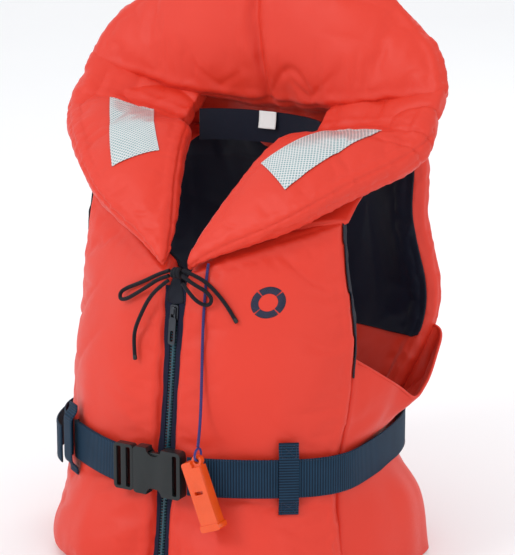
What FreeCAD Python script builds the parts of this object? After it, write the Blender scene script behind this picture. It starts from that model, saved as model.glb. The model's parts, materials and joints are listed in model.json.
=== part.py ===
import FreeCAD, Part
import math
import os
from FreeCAD import Vector

os.makedirs("parts", exist_ok=True)

# Foam life jacket, standing on its hem. Millimetres, +Z up, -Y is the front, +X is the wearer's
# left. The origin lies on the floor, under the middle of the jacket's box.

# ---- driving dimensions ----
ORIGIN_SHIFT_Y = -2.234     # moves the finished solids so that the box is centred on the origin

COVER = 1.0                # nylon cover
LINING = 0.8               # inner nylon
GAP = 0.35                 # room between one layer and the next
EDGE = 1.8                 # thickness of a cover at its sides, seam allowance included
FRONT_FOAM_MID = 40.0      # thickness of a front panel in its middle
FRONT_FOAM_EDGE = 26.0     # and at its edges
BACK_FOAM_MID = 34.0
BACK_FOAM_EDGE = 24.0
GUSSET = 2.4               # loose side fabric, two layers
STRAP = 8.0                # padded shoulder strap
ZIP_EDGE = 8.0             # half the space between the two front panels
FRONT_TURN = 55.0          # how far the panels' side edges turn towards the middle, degrees
BACK_TURN = 50.0

ZIP_TOP_Z = 323.0          # height at the neck knot
ZIP_TOP_Y = -109.0
ZIP_SLOPE = 0.124          # the zip line leans out towards the hem
ZIP_ANGLE = math.degrees(math.atan(ZIP_SLOPE))
SLIDER_Z = 278.0
TOOTH_PITCH = 4.0

BELT_Z = 124.0
BELT_WIDTH = 40.0
WEBBING = 1.8
LOOP_X = 127.0
LOOP_WIDTH = 20.0
LOOP_HEIGHT = 76.0

BUCKLE_Y = -157.0          # middle of the buckle's thickness
BUCKLE_THICK = 12.0
BUCKLE_HEIGHT = 49.0
PLUG_X = (-46.0, -23.0)    # ladder end to shoulder of the plug
SOCKET_X = (-22.0, 33.0)   # mouth to webbing end of the socket
THUMB_X = 2.0              # middle of the round notches in the socket's two edges
THUMB_RADIUS = 9.0
PRONG_TIP = 17.0
LADDER_SLOTS = (-42.5, -31.5)
LADDER_SLOT = 5.0
MOUTH_HALF = 20.6          # half height of the socket's hollow
PRONG_OUTER = 19.2         # half height over the two prongs
MOUTH_DEPTH = 7.0          # hollow, front to back

LACE = 4.0                 # diameter of the neck lace
WHISTLE_CORD = 3.0
WHISTLE_TOP = Vector(48, -164, 145)
WHISTLE_TILT = 21.0        # it hangs by one corner
WHISTLE_SIZE = (20.0, 13.0, 72.0)
EYE = (7.0, -1.0)          # across and above the middle of the whistle's top
EYE_RADIUS = 3.0
LUG_RADIUS = 5.5
LUG_THICK = 6.0
RING_RADIUS = 6.0
RING_WIRE = 1.2


# ---- general helpers ----
def save(name, shape):
    """Writes one named piece in the finished frame."""
    moved = shape.copy()
    moved.translate(Vector(0, ORIGIN_SHIFT_Y, 0))
    bad = [solid for solid in moved.Solids if not solid.isValid() or solid.Volume <= 0]
    box = moved.BoundBox
    print("%-22s %2d solids %9.0f mm3  x %7.1f %7.1f  y %7.1f %7.1f  z %6.1f %6.1f%s" % (
        name, len(moved.Solids), moved.Volume, box.XMin, box.XMax, box.YMin, box.YMax,
        box.ZMin, box.ZMax, "  BAD" if bad or not moved.Solids else ""))
    moved.exportStep("parts/%s.step" % name)


def mirrored(shape):
    """The same piece on the wearer's right."""
    return shape.mirror(Vector(0, 0, 0), Vector(1, 0, 0))


def save_pair(name, shape):
    """A piece on the wearer's left and its mirror image on the right."""
    save(name + "_left", shape)
    save(name + "_right", mirrored(shape))


def surface(rows):
    """A smooth surface through rows of points."""
    result = Part.BSplineSurface()
    result.interpolate(rows)
    return result


def value(face, u, v):
    """The point at a fraction of the surface's width and height."""
    u0, u1, v0, v1 = face.bounds()
    return face.value(u0 + (u1 - u0) * u, v0 + (v1 - v0) * v)


def normal(face, u, v):
    u0, u1, v0, v1 = face.bounds()
    return face.normal(u0 + (u1 - u0) * u, v0 + (v1 - v0) * v)


def solid_between(a, b):
    """The closed solid between two matching surfaces."""
    au0, au1, av0, av1 = a.bounds()
    bu0, bu1, bv0, bv1 = b.bounds()
    edges = ((a.uIso(au0), b.uIso(bu0)), (a.uIso(au1), b.uIso(bu1)),
             (a.vIso(av0), b.vIso(bv0)), (a.vIso(av1), b.vIso(bv1)))
    faces = [a.toShape(), b.toShape()]
    for edge_a, edge_b in edges:
        faces.append(Part.makeRuledSurface(edge_a.toShape(), edge_b.toShape()))
    shell = Part.makeShell(faces)
    shell.sewShape()
    solid = Part.Solid(shell)
    if solid.Volume < 0:
        solid.reverse()
    return solid


def offset_surface(face, depth, count=(9, 9), level=False):
    """A surface at depth(u, v) behind another, along its normal, or along the normal's level
    part, which keeps a hem flat on the floor."""
    rows = []
    for i in range(count[0]):
        u = i / (count[0] - 1)
        row = []
        for j in range(count[1]):
            v = j / (count[1] - 1)
            direction = normal(face, u, v)
            if level:
                direction = Vector(direction.x, direction.y, 0).normalize()
            point = value(face, u, v) + direction * depth(u, v)
            row.append(point)
        rows.append(row)
    return surface(rows)


def resampled(face, count=(9, 9)):
    """The same surface, interpolated again at even fractions."""
    return offset_surface(face, lambda u, v: 0.0, count)


def span(face, along_u):
    """Length of a surface through its middle, measured in short steps."""
    steps = 16
    stops = [i / steps for i in range(steps + 1)]
    line = [value(face, t, 0.5) if along_u else value(face, 0.5, t) for t in stops]
    return sum((b - a).Length for a, b in zip(line, line[1:]))


def layer(front, back, near=None, far=None, margin=COVER, count=(9, 9)):
    """A surface inside the solid between front and back: near mm behind front, or far mm
    before back, and drawn in from the four sides by a margin in mm."""
    margin_u = margin / span(front, True)
    margin_v = margin / span(front, False)
    rows = []
    for i in range(count[0]):
        u = margin_u + (1 - 2 * margin_u) * i / (count[0] - 1)
        row = []
        for j in range(count[1]):
            v = margin_v + (1 - 2 * margin_v) * j / (count[1] - 1)
            outer = value(front, u, v)
            inner = value(back, u, v)
            through = (inner - outer).normalize()
            row.append(outer + through * near if near is not None else inner - through * far)
        rows.append(row)
    return surface(rows)


def cushion(front, back, lined=False, count=(9, 9)):
    """Cover, foam and lining of one cushion between two surfaces. The cover is a closed bag round
    the foam, and the lining lies over its inner side."""
    hollow = solid_between(layer(front, back, near=COVER, margin=EDGE, count=count),
                           layer(front, back, far=COVER, margin=EDGE, count=count))
    cover = solid_between(front, back).cut(hollow).Solids[0]
    room = EDGE + GAP
    foam = solid_between(layer(front, back, near=COVER + GAP, margin=room, count=count),
                         layer(front, back, far=COVER + GAP, margin=room, count=count))
    lining = None
    if lined:
        lining = solid_between(layer(front, back, far=-LINING, margin=room, count=count),
                               layer(front, back, far=-2 * LINING, margin=room, count=count))
    return cover, foam, lining


def box(x0, x1, y0, y1, z0, z1):
    return Part.makeBox(x1 - x0, y1 - y0, z1 - z0, Vector(x0, y0, z0))


def rounded_box(x0, x1, y0, y1, z0, z1, radius, axis="y"):
    """A box whose four edges along one axis are rounded."""
    solid = box(x0, x1, y0, y1, z0, z1)
    along = {"x": Vector(1, 0, 0), "y": Vector(0, 1, 0), "z": Vector(0, 0, 1)}[axis]
    edges = [edge for edge in solid.Edges if abs(edge.tangentAt(edge.FirstParameter).dot(along)) > 0.99]
    return solid.makeFillet(radius, edges)


def turned(shape, centre, axis, angle):
    result = shape.copy()
    result.rotate(centre, axis, angle)
    return result


# ---- cords: straight runs joined by tangent arcs ----
def cord(name, route, diameter):
    """A tube along a route. Prints the arcs' radii and compares volume with length."""
    points = [Vector(*point) for point in route]
    edges = []
    radii = []
    start = points[0]
    for before, corner, after in zip(points, points[1:], points[2:]):
        into = corner - before
        out = after - corner
        reach = 0.45 * min(into.Length, out.Length)
        into.normalize()
        out.normalize()
        half_turn = into.getAngle(out) / 2
        radius = reach / math.tan(half_turn)
        radii.append(radius)
        a = corner - into * reach
        b = corner + out * reach
        inward = (out - into).normalize()
        middle = corner + inward * (radius / math.cos(half_turn) - radius)
        edges.append(Part.LineSegment(start, a).toShape())
        edges.append(Part.Arc(a, middle, b).toShape())
        start = b
    edges.append(Part.LineSegment(start, points[-1]).toShape())
    path = Part.Wire(edges)
    heading = (points[1] - points[0]).normalize()
    section = Part.Wire(Part.makeCircle(diameter / 2, points[0], heading))
    tube = path.makePipeShell([section], True, True).Solids[0]
    if tube.Volume < 0:
        tube.reverse()
    expected = math.pi * diameter ** 2 / 4 * path.Length
    print("   cord %-14s %.0f mm long, radii %s, volume %.4f of section x length" % (
        name, path.Length, " ".join("%.0f" % radius for radius in radii), tube.Volume / expected))
    save(name, tube)


# ---- front panels ----
# Each row runs from the zip to the side, the rows from the hem to the neck.
FRONT_ROWS = (
    ((8, -152, 0), (22, -160, 0), (62, -163, 0), (108, -148, 0), (138, -126, 0), (160, -98, 0),
     (170, -72, 0)),
    ((8, -145, 60), (22, -152, 60), (57, -152, 60), (102, -134, 60), (132, -112, 60), (154, -88, 60),
     (163, -66, 60)),
    ((8, -137, 124), (20, -142, 124), (51, -135, 124), (95, -118, 124), (122, -102, 124), (148, -83, 124),
     (160, -62, 124)),
    ((8, -129, 190), (22, -136, 190), (55, -131, 190), (103, -112, 190), (135, -90, 190), (156, -66, 190),
     (163, -44, 190)),
    ((8, -121, 250), (22, -127, 250), (55, -119, 250), (100, -98, 250), (132, -77, 250), (154, -55, 250),
     (163, -34, 250)),
    ((8, -114, 300), (22, -116, 304), (52, -103, 310), (92, -80, 316), (124, -63, 320), (146, -48, 325),
     (154, -37, 328)),
    ((8, -109, 318), (22, -106, 326), (48, -91, 338), (82, -71, 351), (112, -57, 363), (137, -44, 373),
     (152, -35, 380)),
)


def transposed(rows):
    """The columns of a net of points."""
    return [list(column) for column in zip(*rows)]


def columns(rows):
    """Turns rows of plain numbers into columns of vectors, so that u runs along a row."""
    return transposed([[Vector(*point) for point in row] for row in rows])


def pillow(edge, mid):
    """Thickness from a thin edge to a full middle."""
    def depth(u, v):
        rise = (1 - (2 * u - 1) ** 4) * (1 - (2 * v - 1) ** 4)
        return edge + (mid - edge) * rise
    return depth


def inward(face, depth, outward):
    """Makes a depth function that goes against the outward direction at the middle."""
    sign = -1.0 if normal(face, 0.5, 0.5).dot(outward) > 0 else 1.0
    return lambda u, v: sign * depth(u, v)


def inner_face(face, depth, heading, count=(9, 9)):
    """The inner face of a panel. heading(u) is the level direction of the thickness, turned from
    the Y axis towards the middle of the body, in degrees; its sign says which way along Y."""
    rows = []
    for i in range(count[0]):
        u = i / (count[0] - 1)
        turn, along_y = heading(u)
        direction = Vector(-math.sin(math.radians(turn)), along_y * math.cos(math.radians(turn)), 0)
        rows.append([value(face, u, j / (count[1] - 1)) + direction * depth(u, j / (count[1] - 1))
                     for j in range(count[1])])
    return surface(rows)


front_face = resampled(surface(columns(FRONT_ROWS)))
front_back_face = inner_face(front_face, pillow(FRONT_FOAM_EDGE, FRONT_FOAM_MID),
                             lambda u: (FRONT_TURN * u, 1.0))


def front_panels():
    cover, foam, lining = cushion(front_face, front_back_face, lined=True)
    save_pair("front_cover", cover)
    save_pair("front_foam", foam)
    save_pair("front_lining", lining)


def armhole_bindings():
    """The dark strip along the side of each front panel, above the gusset."""
    rows = []
    lift = 1.4
    for i in range(5):
        column = []
        for j in range(7):
            v = 0.62 + 0.37 * j / 6
            outer = value(front_face, 1.0, v)
            inner = value(front_back_face, 1.0, v)
            sideways = (outer - value(front_face, 0.97, v)).normalize()
            column.append(outer + (inner - outer) * (0.06 + 0.88 * i / 4) + sideways * lift)
        rows.append(column)
    strip = surface(rows)
    save_pair("armhole_binding", solid_between(strip, offset_surface(
        strip, inward(strip, lambda u, v: -LINING, Vector(1, 0, 0)), (5, 7), level=True)))


# ---- back panel ----
BACK_ROWS = (
    ((0, 154, 0), (60, 152, 0), (105, 146, 0), (135, 136, 0), (155, 122, 0), (165, 106, 0)),
    ((0, 150, 60), (58, 148, 60), (99, 141, 60), (127, 128, 60), (143, 112, 60), (151, 96, 60)),
    ((0, 147, 124), (55, 144, 124), (94, 135, 124), (120, 120, 124), (134, 104, 124), (141, 87, 124)),
    ((0, 158, 190), (60, 155, 190), (104, 147, 190), (135, 134, 190), (153, 119, 190), (162, 104, 190)),
    ((0, 166, 240), (62, 163, 240), (110, 155, 240), (145, 143, 240), (168, 131, 240), (180, 119, 240)),
    ((0, 170, 320), (60, 167, 320), (105, 158, 320), (138, 146, 318), (160, 131, 316), (173, 117, 314)),
    ((0, 158, 380), (55, 156, 380), (98, 150, 378), (130, 140, 375), (152, 128, 372), (166, 115, 370)),
    ((0, 137, 424), (50, 137, 423), (90, 135, 421), (120, 131, 419), (145, 124, 417), (161, 116, 415)),
)


def both_sides(rows):
    """Continues rows given from the middle to the left with their mirror image."""
    result = []
    for row in rows:
        right = [(-x, y, z) for x, y, z in reversed(row[1:])]
        result.append(tuple(right) + tuple(row))
    return result


def back_panel():
    face = resampled(surface(columns(both_sides(BACK_ROWS))), (15, 9))
    sign = 1.0 if value(face, 1.0, 0.5).x > 0 else -1.0
    inside = inner_face(face, pillow(BACK_FOAM_EDGE, BACK_FOAM_MID),
                        lambda u: (sign * BACK_TURN * (2 * u - 1), -1.0), (15, 9))
    cover, foam, lining = cushion(face, inside, lined=True, count=(15, 9))
    save("back_cover", cover)
    save("back_foam", foam)
    save("back_lining", lining)


# ---- loose fabric under each arm, from the front panel to the back panel ----
GUSSET_ROWS = (
    ((172, -70, 0), (184, -46, 0), (193, -10, 0), (196, 30, 0), (193, 64, 0), (183, 88, 0), (168, 104, 0)),
    ((165, -62, 60), (174, -38, 60), (181, -5, 60), (184, 30, 60), (180, 58, 60), (169, 80, 60), (154, 94, 60)),
    ((162, -57, 124), (161, -34, 124), (159, -5, 124), (156, 25, 124), (152, 50, 124), (148, 68, 124),
     (144, 84, 124)),
    ((166, -44, 180), (170, -22, 166), (170, 5, 157), (167, 28, 152), (164, 52, 155), (162, 78, 165),
     (165, 102, 178)),
    ((168, -30, 228), (177, -8, 210), (184, 18, 192), (189, 40, 176), (191, 62, 186), (188, 90, 206),
     (184, 117, 229)),
)


def side_gussets():
    face = resampled(surface(columns(GUSSET_ROWS)))
    depth = inward(face, lambda u, v: GUSSET, Vector(1, 0, 0))
    save_pair("side_gusset", solid_between(face, offset_surface(face, depth, level=True)))


# ---- padded straps over the shoulders ----
STRAP_ROWS = (
    ((60, -51, 363), (84, -45, 372), (108, -38, 380), (130, -31, 386), (150, -24, 391)),
    ((68, -18, 387), (90, -16, 391), (112, -13, 395), (134, -10, 398), (155, -7, 400)),
    ((80, 18, 403), (100, 19, 406), (120, 20, 409), (140, 21, 411), (159, 22, 412)),
    ((86, 52, 416), (105, 53, 418), (123, 54, 419), (142, 54, 420), (160, 54, 420)),
    ((86, 82, 421), (105, 83, 421), (123, 83, 421), (142, 83, 420), (160, 83, 419)),
)


def shoulder_straps():
    face = resampled(surface(columns(STRAP_ROWS)))
    depth = inward(face, lambda u, v: STRAP, Vector(0, 0, 1))
    save_pair("shoulder_strap", solid_between(face, offset_surface(face, depth)))


# ---- lapels: boxed cushions folded out from the neck ----
# Each station gives the neck edge, the outer edge, the facing direction, the crown and the thickness.
LAPEL_STATIONS = (
    ((10, -114, 331), (15, -118, 323), (0.0, -0.62, 0.78), 0.0, 6.0),
    ((17, -94, 355), (39, -111, 344), (0.0, -0.62, 0.78), 3.0, 12.0),
    ((28, -68, 388), (79, -98, 364), (0.0, -0.62, 0.78), 6.0, 20.0),
    ((40, -38, 420), (118, -84, 385), (0.0, -0.50, 0.87), 8.0, 25.0),
    ((50, -6, 441), (155, -53, 410), (0.0, -0.40, 0.92), 9.0, 26.0),
    ((62, 16, 444), (193, -8, 434), (0.0, -0.25, 0.97), 9.0, 26.0),
    ((74, 34, 441), (214, 38, 462), (-0.12, -0.10, 0.98), 5.0, 24.0),
)
LAPEL_FRACTIONS = (0.0, 0.2, 0.5, 0.8, 1.0)
PATCH_WIDTH = 50.0
PATCH_MIDDLE = 0.47         # across the lapel
PATCH_START = 0.50          # along it, from the knot to the shoulder
PATCH_END = 0.93


def lapel_surfaces():
    """Top and underside of the left lapel."""
    top = []
    under = []
    for inner, outer, facing, crown, thick in LAPEL_STATIONS:
        start = Vector(*inner)
        across = Vector(*outer) - start
        up = Vector(*facing).normalize()
        top.append([start + across * f + up * crown * math.sin(math.pi * f) for f in LAPEL_FRACTIONS])
        under.append([start + across * (0.04 + 0.92 * f) - up * thick for f in LAPEL_FRACTIONS])
    return resampled(surface(transposed(top))), resampled(surface(transposed(under)))


def lapels():
    top, under = lapel_surfaces()
    cover, foam, lining = cushion(top, under)
    save_pair("lapel_cover", cover)
    save_pair("lapel_foam", foam)
    sign = 1.0 if normal(top, 0.5, 0.5).z > 0 else -1.0
    rows = []
    for i in range(5):
        row = []
        for j in range(7):
            v = PATCH_START + (PATCH_END - PATCH_START) * j / 6
            lapel_width = (value(top, 1.0, v) - value(top, 0.0, v)).Length
            u = PATCH_MIDDLE + PATCH_WIDTH * (i / 4 - 0.5) / lapel_width
            row.append(value(top, u, v) + normal(top, u, v) * sign * 0.5)
        rows.append(row)
    patch = surface(rows)
    raised = offset_surface(patch, lambda u, v: sign * 0.6, (5, 7))
    save_pair("reflective_patch", solid_between(patch, raised))


# ---- head support ----
SUPPORT_FRONT = (
    ((0, 72, 459), (45, 66, 459), (85, 54, 463), (130, 51, 471), (175, 53, 478), (212, 58, 484)),
    ((0, 58, 490), (45, 54, 490), (88, 50, 492), (132, 52, 496), (172, 57, 500), (207, 63, 504)),
    ((0, 58, 535), (42, 56, 535), (84, 56, 535), (126, 62, 534), (163, 70, 532), (193, 77, 529)),
    ((0, 64, 580), (40, 64, 579), (80, 68, 576), (114, 74, 570), (143, 80, 562), (166, 84, 555)),
    ((0, 88, 616), (32, 88, 614), (64, 88, 610), (95, 88, 602), (121, 88, 591), (140, 88, 580)),
)
SUPPORT_BACK = (
    ((0, 122, 454), (45, 121, 455), (88, 115, 459), (132, 106, 467), (174, 92, 476), (209, 74, 485)),
    ((0, 124, 490), (45, 122, 490), (88, 116, 492), (130, 107, 496), (170, 94, 500), (204, 78, 504)),
    ((0, 118, 535), (42, 117, 535), (84, 113, 535), (124, 106, 534), (161, 98, 532), (190, 88, 529)),
    ((0, 108, 580), (40, 107, 579), (79, 104, 576), (113, 100, 570), (141, 95, 562), (164, 91, 555)),
    ((0, 95, 618), (32, 95, 616), (64, 95, 612), (95, 95, 604), (121, 94, 592), (140, 93, 581)),
)


def head_support():
    front = resampled(surface(columns(both_sides(SUPPORT_FRONT))), (15, 9))
    back = resampled(surface(columns(both_sides(SUPPORT_BACK))), (15, 9))
    cover, foam, lining = cushion(front, back, count=(25, 13))
    save("head_support_cover", cover)
    save("head_support_foam", foam)


def neck_band():
    """The strip that joins the back panel to the head support, and the size label on it."""
    rows = [[Vector(x, y, z + rise) for z in (0, 11, 22, 33)] for x, y, rise in
            ((-72, 52, 416), (-50, 66, 416), (-25, 73, 416), (0, 75, 416), (25, 73, 416), (50, 66, 416),
             (72, 52, 416))]
    face = resampled(surface(rows))
    depth = inward(face, lambda u, v: 2.0, Vector(0, -1, 0))
    save("neck_band", solid_between(face, offset_surface(face, depth)))
    save("size_label", box(-11, 9, 71.2, 72.0, 432, 448))


# ---- zip ----
def zip_y(z):
    return ZIP_TOP_Y - ZIP_SLOPE * (ZIP_TOP_Z - z)


def zip_frame(shape, z=0.0):
    """Stands a shape that was drawn about the Z axis on the zip line, its foot at height z."""
    placed = shape.copy()
    placed.rotate(Vector(0, 0, 0), Vector(1, 0, 0), -ZIP_ANGLE)
    placed.translate(Vector(0, zip_y(z), z))
    return placed


def zip_parts():
    length = 305.0
    foot = 6.0
    save_pair("zip_tape", zip_frame(box(3.3, 7.3, -0.4, 0.4, 0, length), foot))
    teeth = []
    for i in range(int((length - 26) / TOOTH_PITCH)):
        z = 16 + i * TOOTH_PITCH
        teeth.append(rounded_box(0.9, 3.2, -1.5, 1.5, z, z + 2.6, 0.5))
    save_pair("zip_teeth", zip_frame(Part.Compound(teeth), foot))
    stop = box(0.9, 3.2, -1.6, 1.6, length - 5, length - 1)
    save("zip_top_stops", zip_frame(Part.Compound([stop, mirrored(stop)]), foot))
    bottom = rounded_box(-3.2, 3.2, -2.4, 2.4, 0.5, 14, 1.2)
    save("zip_bottom_box", zip_frame(bottom, foot))
    save("zip_underflap", zip_frame(box(-4.4, 4.4, 6.0, 7.4, 0, length + 8), foot))


def zip_slider():
    """Two plates joined by the web between the rows of teeth, and the bail for the pull."""
    plates = rounded_box(-4.6, 4.6, -3.6, -2.0, -8, 8, 2.0)
    plates = plates.fuse(rounded_box(-4.6, 4.6, 2.0, 3.4, -8, 8, 2.0))
    web = box(-0.5, 0.5, -2.2, 2.2, -8, 8)
    bail = rounded_box(-1.6, 1.6, -6.8, -3.4, -1.5, 6.5, 1.0, "x")
    bail = bail.cut(Part.makeCylinder(1.3, 6, Vector(-3, -5.0, 4.2), Vector(1, 0, 0)))
    slider = plates.fuse([web, bail]).removeSplitter()
    save("zip_slider", zip_frame(slider, SLIDER_Z))


def zip_pull():
    """A tab on a pin that turns in the bail."""
    pin = Part.makeCylinder(1.2, 5.6, Vector(-2.8, -5.0, 4.2), Vector(1, 0, 0))
    arms = []
    for side in (-1, 1):
        x = 2.0 if side > 0 else -3.0
        arms.append(box(x, x + 1.0, -5.8, -4.2, -6.0, 5.4))
    tab = rounded_box(-4.0, 4.0, -5.8, -4.2, -32, -4.5, 2.5)
    tab = tab.cut(rounded_box(-1.8, 1.8, -7, -3, -29, -18, 1.5))
    pull = tab.fuse(arms + [pin]).removeSplitter()
    save("zip_pull", zip_frame(pull, SLIDER_Z))


# ---- waist belt ----
# Plan of the belt's inner face, from the socket round the wearer's left to the middle of the back.
BELT_LEFT = ((36, -154.5), (58, -147.5), (97, -130), (127, -111), (153, -88), (166, -64), (169, -28), (168, 4),
             (165, 34), (160, 66), (150, 97), (128, 127), (100, 145), (55, 153), (0, 156))
# From the middle of the back round the wearer's right to the right-hand loop.
BELT_RIGHT = ((0, 156), (-55, 153), (-100, 145), (-128, 127), (-150, 97), (-160, 66), (-165, 34), (-168, 4),
              (-169, -28), (-166, -64), (-153, -88), (-130, -109))
SPAN_PLAN = ((-129, -110), (-97, -130), (-70, -144), (-47, -153))
TAIL_PLAN = ((-144, -103.5), (-158, -91), (-172, -66), (-181, -36))


def ribbon(plan, z0, height, start_depth, end_depth, outward_sign=1.0):
    """Upright webbing along a plan curve, between two depths outside it."""
    curve = Part.BSplineCurve()
    curve.interpolate([Vector(x, y, 0) for x, y in plan])
    count = 6 * len(plan)
    first = curve.FirstParameter
    last = curve.LastParameter
    near = []
    far = []
    for i in range(count + 1):
        t = first + (last - first) * i / count
        point = curve.value(t)
        tangent = curve.tangent(t)[0]
        out = Vector(tangent.y, -tangent.x, 0) * outward_sign
        near.append(point + out * start_depth)
        far.append(point + out * end_depth)
    inner = Part.BSplineCurve()
    inner.interpolate(near)
    outer = Part.BSplineCurve()
    outer.interpolate(far)
    wire = Part.Wire([inner.toShape(), Part.LineSegment(near[-1], far[-1]).toShape(),
                      outer.toShape(), Part.LineSegment(far[0], near[0]).toShape()])
    solid = Part.Face(wire).extrude(Vector(0, 0, height))
    solid.translate(Vector(0, 0, z0))
    return solid


def waist_belt():
    low = BELT_Z - BELT_WIDTH / 2
    whole = list(BELT_LEFT) + list(BELT_RIGHT[1:])
    save("waist_belt", ribbon(whole, low, BELT_WIDTH, 0.0, WEBBING))
    layers = [ribbon(SPAN_PLAN, low, BELT_WIDTH, -WEBBING, 0.0),
              ribbon(SPAN_PLAN, low - 2, BELT_WIDTH, -2 * WEBBING - 1.0, -WEBBING - 1.0)]
    save("belt_buckle_span", Part.Compound(layers))
    save("belt_tail", ribbon(TAIL_PLAN, low - 12, BELT_WIDTH, -2 * WEBBING - 1.0, -WEBBING - 1.0))


def belt_loop(x, y, out, stack):
    """A bridge of narrow webbing over the belt, sewn down above and below it."""
    half = LOOP_HEIGHT / 2
    rise = stack + 0.8
    profile = ((0.0, -half), (0.0, -half + 8), (rise, -BELT_WIDTH / 2 - 4), (rise, BELT_WIDTH / 2 + 3),
               (0.0, half - 8), (0.0, half))
    inner = [Vector(d, 0, z) for d, z in profile]
    outer = [Vector(d + WEBBING, 0, z) for d, z in profile]
    strip = Part.Face(Part.makePolygon(inner + outer[::-1] + inner[:1]))
    strip = strip.extrude(Vector(0, LOOP_WIDTH, 0))
    strip.translate(Vector(0, -LOOP_WIDTH / 2, 0))
    strip.rotate(Vector(0, 0, 0), Vector(0, 0, 1), math.degrees(math.atan2(out[1], out[0])))
    strip.translate(Vector(x, y, BELT_Z))
    return strip


def belt_loops():
    front = belt_loop(LOOP_X + 0.3, -110.4, (0.57, -0.82), WEBBING)
    save("belt_loop_front_left", front)
    save("belt_loop_front_right", mirrored(belt_loop(LOOP_X + 0.3, -110.4, (0.57, -0.82), 2 * WEBBING + 2.4)))
    save("belt_loop_back", belt_loop(0, 155.2, (0.0, 1.0), WEBBING))


# ---- side-release buckle ----
def buckle_socket():
    y0 = BUCKLE_Y - BUCKLE_THICK / 2
    y1 = BUCKLE_Y + BUCKLE_THICK / 2
    half = BUCKLE_HEIGHT / 2
    body = rounded_box(SOCKET_X[0], SOCKET_X[1], y0, y1, BELT_Z - half, BELT_Z + half, 4.0)
    body = body.cut(box(SOCKET_X[0] - 1, PRONG_TIP + 3, BUCKLE_Y - MOUTH_DEPTH / 2,
                        BUCKLE_Y + MOUTH_DEPTH / 2, BELT_Z - MOUTH_HALF, BELT_Z + MOUTH_HALF))
    for side in (-1, 1):
        centre = Vector(THUMB_X, y0 - 1, BELT_Z + side * (half + 1.0))
        body = body.cut(Part.makeCylinder(THUMB_RADIUS, BUCKLE_THICK + 2, centre, Vector(0, 1, 0)))
    body = body.cut(rounded_box(24.0, 29.0, y0 - 1, y1 + 1, BELT_Z - 21, BELT_Z + 21, 1.5))
    save("buckle_socket", body.removeSplitter())


def buckle_plug():
    y0 = BUCKLE_Y - 3.1
    y1 = BUCKLE_Y + 3.1
    half = BUCKLE_HEIGHT / 2 - 0.5
    frame = rounded_box(PLUG_X[0], PLUG_X[1], y0 - 1.5, y1 + 1.5, BELT_Z - half, BELT_Z + half, 4.0)
    for x in LADDER_SLOTS:
        frame = frame.cut(rounded_box(x, x + LADDER_SLOT, y0 - 3, y1 + 3, BELT_Z - 21, BELT_Z + 21, 1.5))
    guide = rounded_box(PLUG_X[1] - 2, PRONG_TIP, y0, y1, BELT_Z - 4, BELT_Z + 4, 1.5)
    save("buckle_plug", frame.fuse(guide).removeSplitter())


def prong(side):
    """A springy arm: root, arm and the pad that is squeezed, above or below the guide."""
    y0 = BUCKLE_Y - 2.9
    y1 = BUCKLE_Y + 2.9
    root = PLUG_X[1] + 0.3
    outline = ((root, 11.0), (THUMB_X - 4, 12.5), (THUMB_X + 8, 11.0), (PRONG_TIP, 12.5),
               (PRONG_TIP - 2, 16.5), (THUMB_X + 7, PRONG_OUTER), (THUMB_X - 7, PRONG_OUTER),
               (THUMB_X - 9, 16.5), (root, 15.5))
    points = [Vector(x, y0, BELT_Z + side * z) for x, z in outline]
    face = Part.Face(Part.makePolygon(points + points[:1]))
    return face.extrude(Vector(0, y1 - y0, 0))


def buckle():
    buckle_socket()
    buckle_plug()
    save("prong_upper", prong(1))
    save("prong_lower", prong(-1))


# ---- neck lace, tied in a bow ----
KNOT = Vector(5.5, -121, 321)
KNOT_LENGTH = 15.0
KNOT_MIDDLE = 12.0          # diameter at the middle of the knot
KNOT_END = 9.0              # and at its two ends
LOOP_LEFT = ((-2.8, -121, 322.4), (-15, -120, 317.5), (-32, -118, 308), (-46, -115.5, 301), (-57, -114.5, 296),
             (-65, -116, 290.5), (-63, -119.5, 284), (-54, -121.5, 286), (-42, -122.5, 293.5),
             (-27, -124, 303.5), (-13, -125, 313.5), (-1.5, -124.6, 318))
LOOP_RIGHT = ((13, -123, 319.6), (22, -124.5, 315.5), (31, -124.5, 311.5), (40, -123, 307.5), (46.5, -122, 301),
              (45, -122.5, 294), (38, -124, 293), (31, -127, 297.5), (24, -129, 305.5), (16, -127.6, 313))
TAIL_LEFT = ((-0.5, -126.5, 314), (-9, -130.5, 307), (-21, -131, 294), (-30, -131.5, 277), (-37, -133, 260),
             (-37.5, -134.5, 246), (-34.5, -137, 230))
TAIL_RIGHT = ((12.5, -121, 324.5), (24, -120.5, 321.5), (37, -118, 315.5), (50, -116.5, 304.5), (61.5, -114.5, 290.5),
              (70, -114, 277.5))


def neck_lace():
    half = KNOT_LENGTH / 2
    rim = KNOT_END / 2
    belly = Part.Arc(Vector(-half, 0, rim), Vector(0, 0, KNOT_MIDDLE / 2), Vector(half, 0, rim)).toShape()
    rest = Part.makePolygon([Vector(half, 0, rim), Vector(half, 0, 0), Vector(-half, 0, 0), Vector(-half, 0, rim)])
    outline = Part.Wire([belly] + rest.Edges)
    knot = Part.Face(outline).revolve(Vector(0, 0, 0), Vector(1, 0, 0), 360)
    knot.translate(KNOT)
    save("tie_knot", knot)
    cord("tie_loop_left", LOOP_LEFT, LACE)
    cord("tie_loop_right", LOOP_RIGHT, LACE)
    cord("tie_tail_left", TAIL_LEFT, LACE)
    cord("tie_tail_right", TAIL_RIGHT, LACE)


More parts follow.
